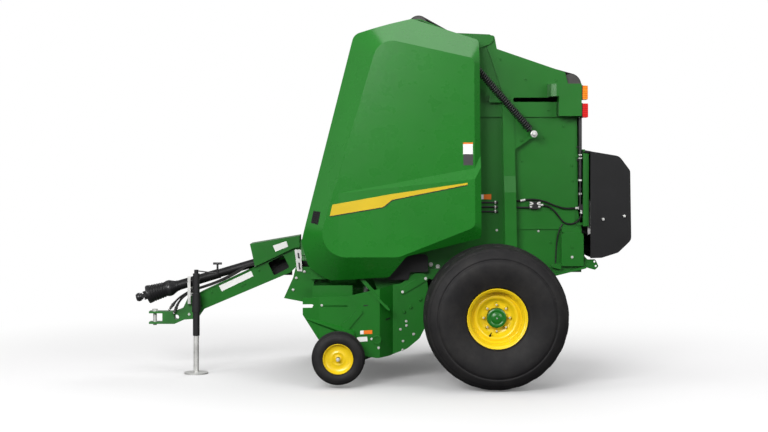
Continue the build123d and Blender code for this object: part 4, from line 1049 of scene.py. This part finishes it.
def tined_reel():
    """Shaft, end discs and four bars of sprung double tines in place of the plain reel."""
    reel, tines = Build(), Build()
    reel.lathe([(BORE_R, -REEL_HALF), (SHAFT_R, -REEL_HALF), (SHAFT_R, REEL_HALF), (BORE_R, REEL_HALF)],
               REEL, Y, 40)
    for side in BOTH:
        face = side * REEL_HALF
        reel.lathe([(SHAFT_R, face), (DISC_R - 0.002, face), (DISC_R, face - side * 0.002),
                    (DISC_R, face - side * 0.008), (SHAFT_R, face - side * 0.008)], REEL, Y, 56)
    for corner in range(4):
        turn = radians(45 + 90 * corner)
        out = Vector((cos(turn), 0, sin(turn)))
        bar = REEL + out * TINE_BAR
        ends = Vector((0, REEL_HALF, 0))
        reel.bar(bar - ends, bar + ends, BAR_R, 20)
        for i in range(TINE_COUNT):
            y = (i - (TINE_COUNT - 1) / 2) * TINE_PITCH
            spring_tine(tines, bar, out, y, 1 if i % 2 == 0 else -1)
        for i in range(TINE_COUNT // 2):
            y = (2 * i + 0.5 - (TINE_COUNT - 1) / 2) * TINE_PITCH
            spot = bar + Vector((0, y, 0)) + out * BAR_R
            tines.hexagon(spot - out * 0.001, out, 0.011, 0.006, 0.2)
    drum = reel.piece("reel_shaft_and_bars", "reel", "green_paint")
    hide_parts("pickup_reel")
    tines.piece("reel_spring_tines", "reel", "dark_steel", smooth=50)


tined_reel()


# ---- brackets, liners and rails
def round_ended(start, end, half):
    """Outline in X, Z of a strap with round ends."""
    start, end, steps = Vector(start), Vector(end), 8
    way = (end - start).normalized()
    angle = atan2(way.y, way.x)
    outline = []
    for centre, first in ((end, angle - pi / 2), (start, angle + pi / 2)):
        for i in range(steps + 1):
            turn = first + pi * i / steps
            outline.append((centre.x + half * cos(turn), centre.y + half * sin(turn)))
    return outline


def slotted_bracket():
    """Small upright plate on the left of the front frame, with two black films on it as painted shade of
    its slot openings.
    """
    y, thick = -0.612, 0.004
    plate, slot_shade = Build(), Build()
    plate.slab(mm([(-628, 1015), (-579, 1015), (-570, 846), (-610, 850)]), y, -thick)
    plate.piece("slotted_bracket", "frame", "zinc_steel")
    # The slot openings are not cut: black films on the plate are painted shade where they would show.
    for corners in ([(-607, 990), (-594, 990), (-589, 948), (-602, 948)],
                    [(-600, 915), (-588, 915), (-581, 862), (-594, 862)]):
        slot_shade.slab(mm(corners), y - (thick - 0.001), -0.0016)
    slot_shade.piece("slotted_bracket_slot_shade", "frame", "black_paint")


def front_gussets():
    """Stiffening plates on the side sheets behind the drawbar."""
    for side, name in SIDES:
        gusset = Build()
        gusset.slab(mm([(-712, 640), (-565, 612), (-480, 640), (-480, 800), (-570, 874), (-622, 874),
                        (-640, 800)]), side * (SHEET_Y + 0.001), side * 0.005)
        gusset.piece(f"front_gusset_{name}", "frame", "green_paint")


LINK = ((0.204, 0.697), (0.381, 0.8))  # X, Z of the pins in a lift link


def side_brackets():
    """Lift links on the pickup's sides, their pins, and the side stiffeners inside the panels."""
    links, pins, rails = Build(), Build(), Build()
    for side in BOTH:
        links.slab(round_ended(*LINK, 0.019), side * 0.6905, side * 0.011)
        for x, z in LINK:
            pins.disc((x, side * 0.7015, z), (0, side, 0), 0.011, 0.005, 20)
        rails.box((-0.488, side * 0.6625, 0.652), (-0.18, side * 0.6805, 0.744))
    links.piece("pickup_lift_links", "pickup", "green_paint")
    pins.piece("pickup_link_pins", "pickup", "zinc_steel", smooth=30)
    rails.piece("pickup_stiffeners", "pickup", "green_paint")


def drawbar_trim():
    """Turned top edges of the drawbar's sides and the dark closing plate in its window."""
    edges, liner = Build(), Build()
    line = [(-1.43, 0.635), (-0.977, 0.846), (-0.665, 0.996)]
    for side in BOTH:
        width = Vector((0, side * 0.008, 0))
        for (x0, z0), (x1, z1) in zip(line, line[1:]):
            a, b = Vector((x0, side * 0.0895, z0)), Vector((x1, side * 0.0895, z1))
            edges.prism([a, b, b + width, a + width], (0.002, 0, -0.005))
    edges.piece("drawbar_edges", "frame", "green_paint")
    liner.box((-0.89, 0.0745, 0.765), (-0.69, 0.0795, 0.945))
    liner.piece("drawbar_liner", "frame", "black_plastic")


def gate_laps():
    """Lap plates inside the split between the fixed sheet and the gate, below the pivot."""
    laps = Build()
    for side in BOTH:
        laps.slab(mm([(790, 2600), (905, 2600), (915, 2500), (985, 2290), (985, 2200), (900, 2200),
                      (790, 2420)]), side * 0.578, side * 0.0125)
    laps.piece("gate_lap_plates", "frame", "green_paint")


# Black films on the pickup's panels: painted shade where the panels have slot openings.
PICKUP_SLOT_SHADE = [((-0.09, 0.602), (-0.062, 0.606), 0.0045), ((0.08, 0.49), (0.106, 0.498), 0.006),
                ((0.206, 0.543), (0.222, 0.547), 0.007)]  # start, end and half width


def pickup_details():
    """Stay bars outside the pickup's panels with their spacers, and black films on the panels as painted
    shade of their slot openings.
    """
    stays = Build()
    top, low = (-0.033, 0.705), (0.098, 0.574)
    for side in BOTH:
        stays.slab(round_ended(top, low, 0.0095), side * 0.8245, side * 0.007)
        stays.bar((top[0], side * 0.816, top[1]), (top[0], side * 0.834, top[1]), 0.007, 16)
        stays.bar((low[0], side * 0.728, low[1]), (low[0], side * 0.836, low[1]), 0.008, 16)
    stays.piece("pickup_stay_bars", "pickup", "green_paint")
    panels = surface("pickup_frame")
    # Black films, not cut openings: painted shade of the slot openings.
    for side, name in SIDES:
        for i, (start, end, half) in enumerate(PICKUP_SLOT_SHADE):
            film(f"pickup_slot_shade_{name}_{i + 1}", round_ended(start, end, half), panels, side, "pickup",
                 "black_paint", lift=0.0008)


slotted_bracket()
front_gussets()
side_brackets()
drawbar_trim()
gate_laps()
pickup_details()
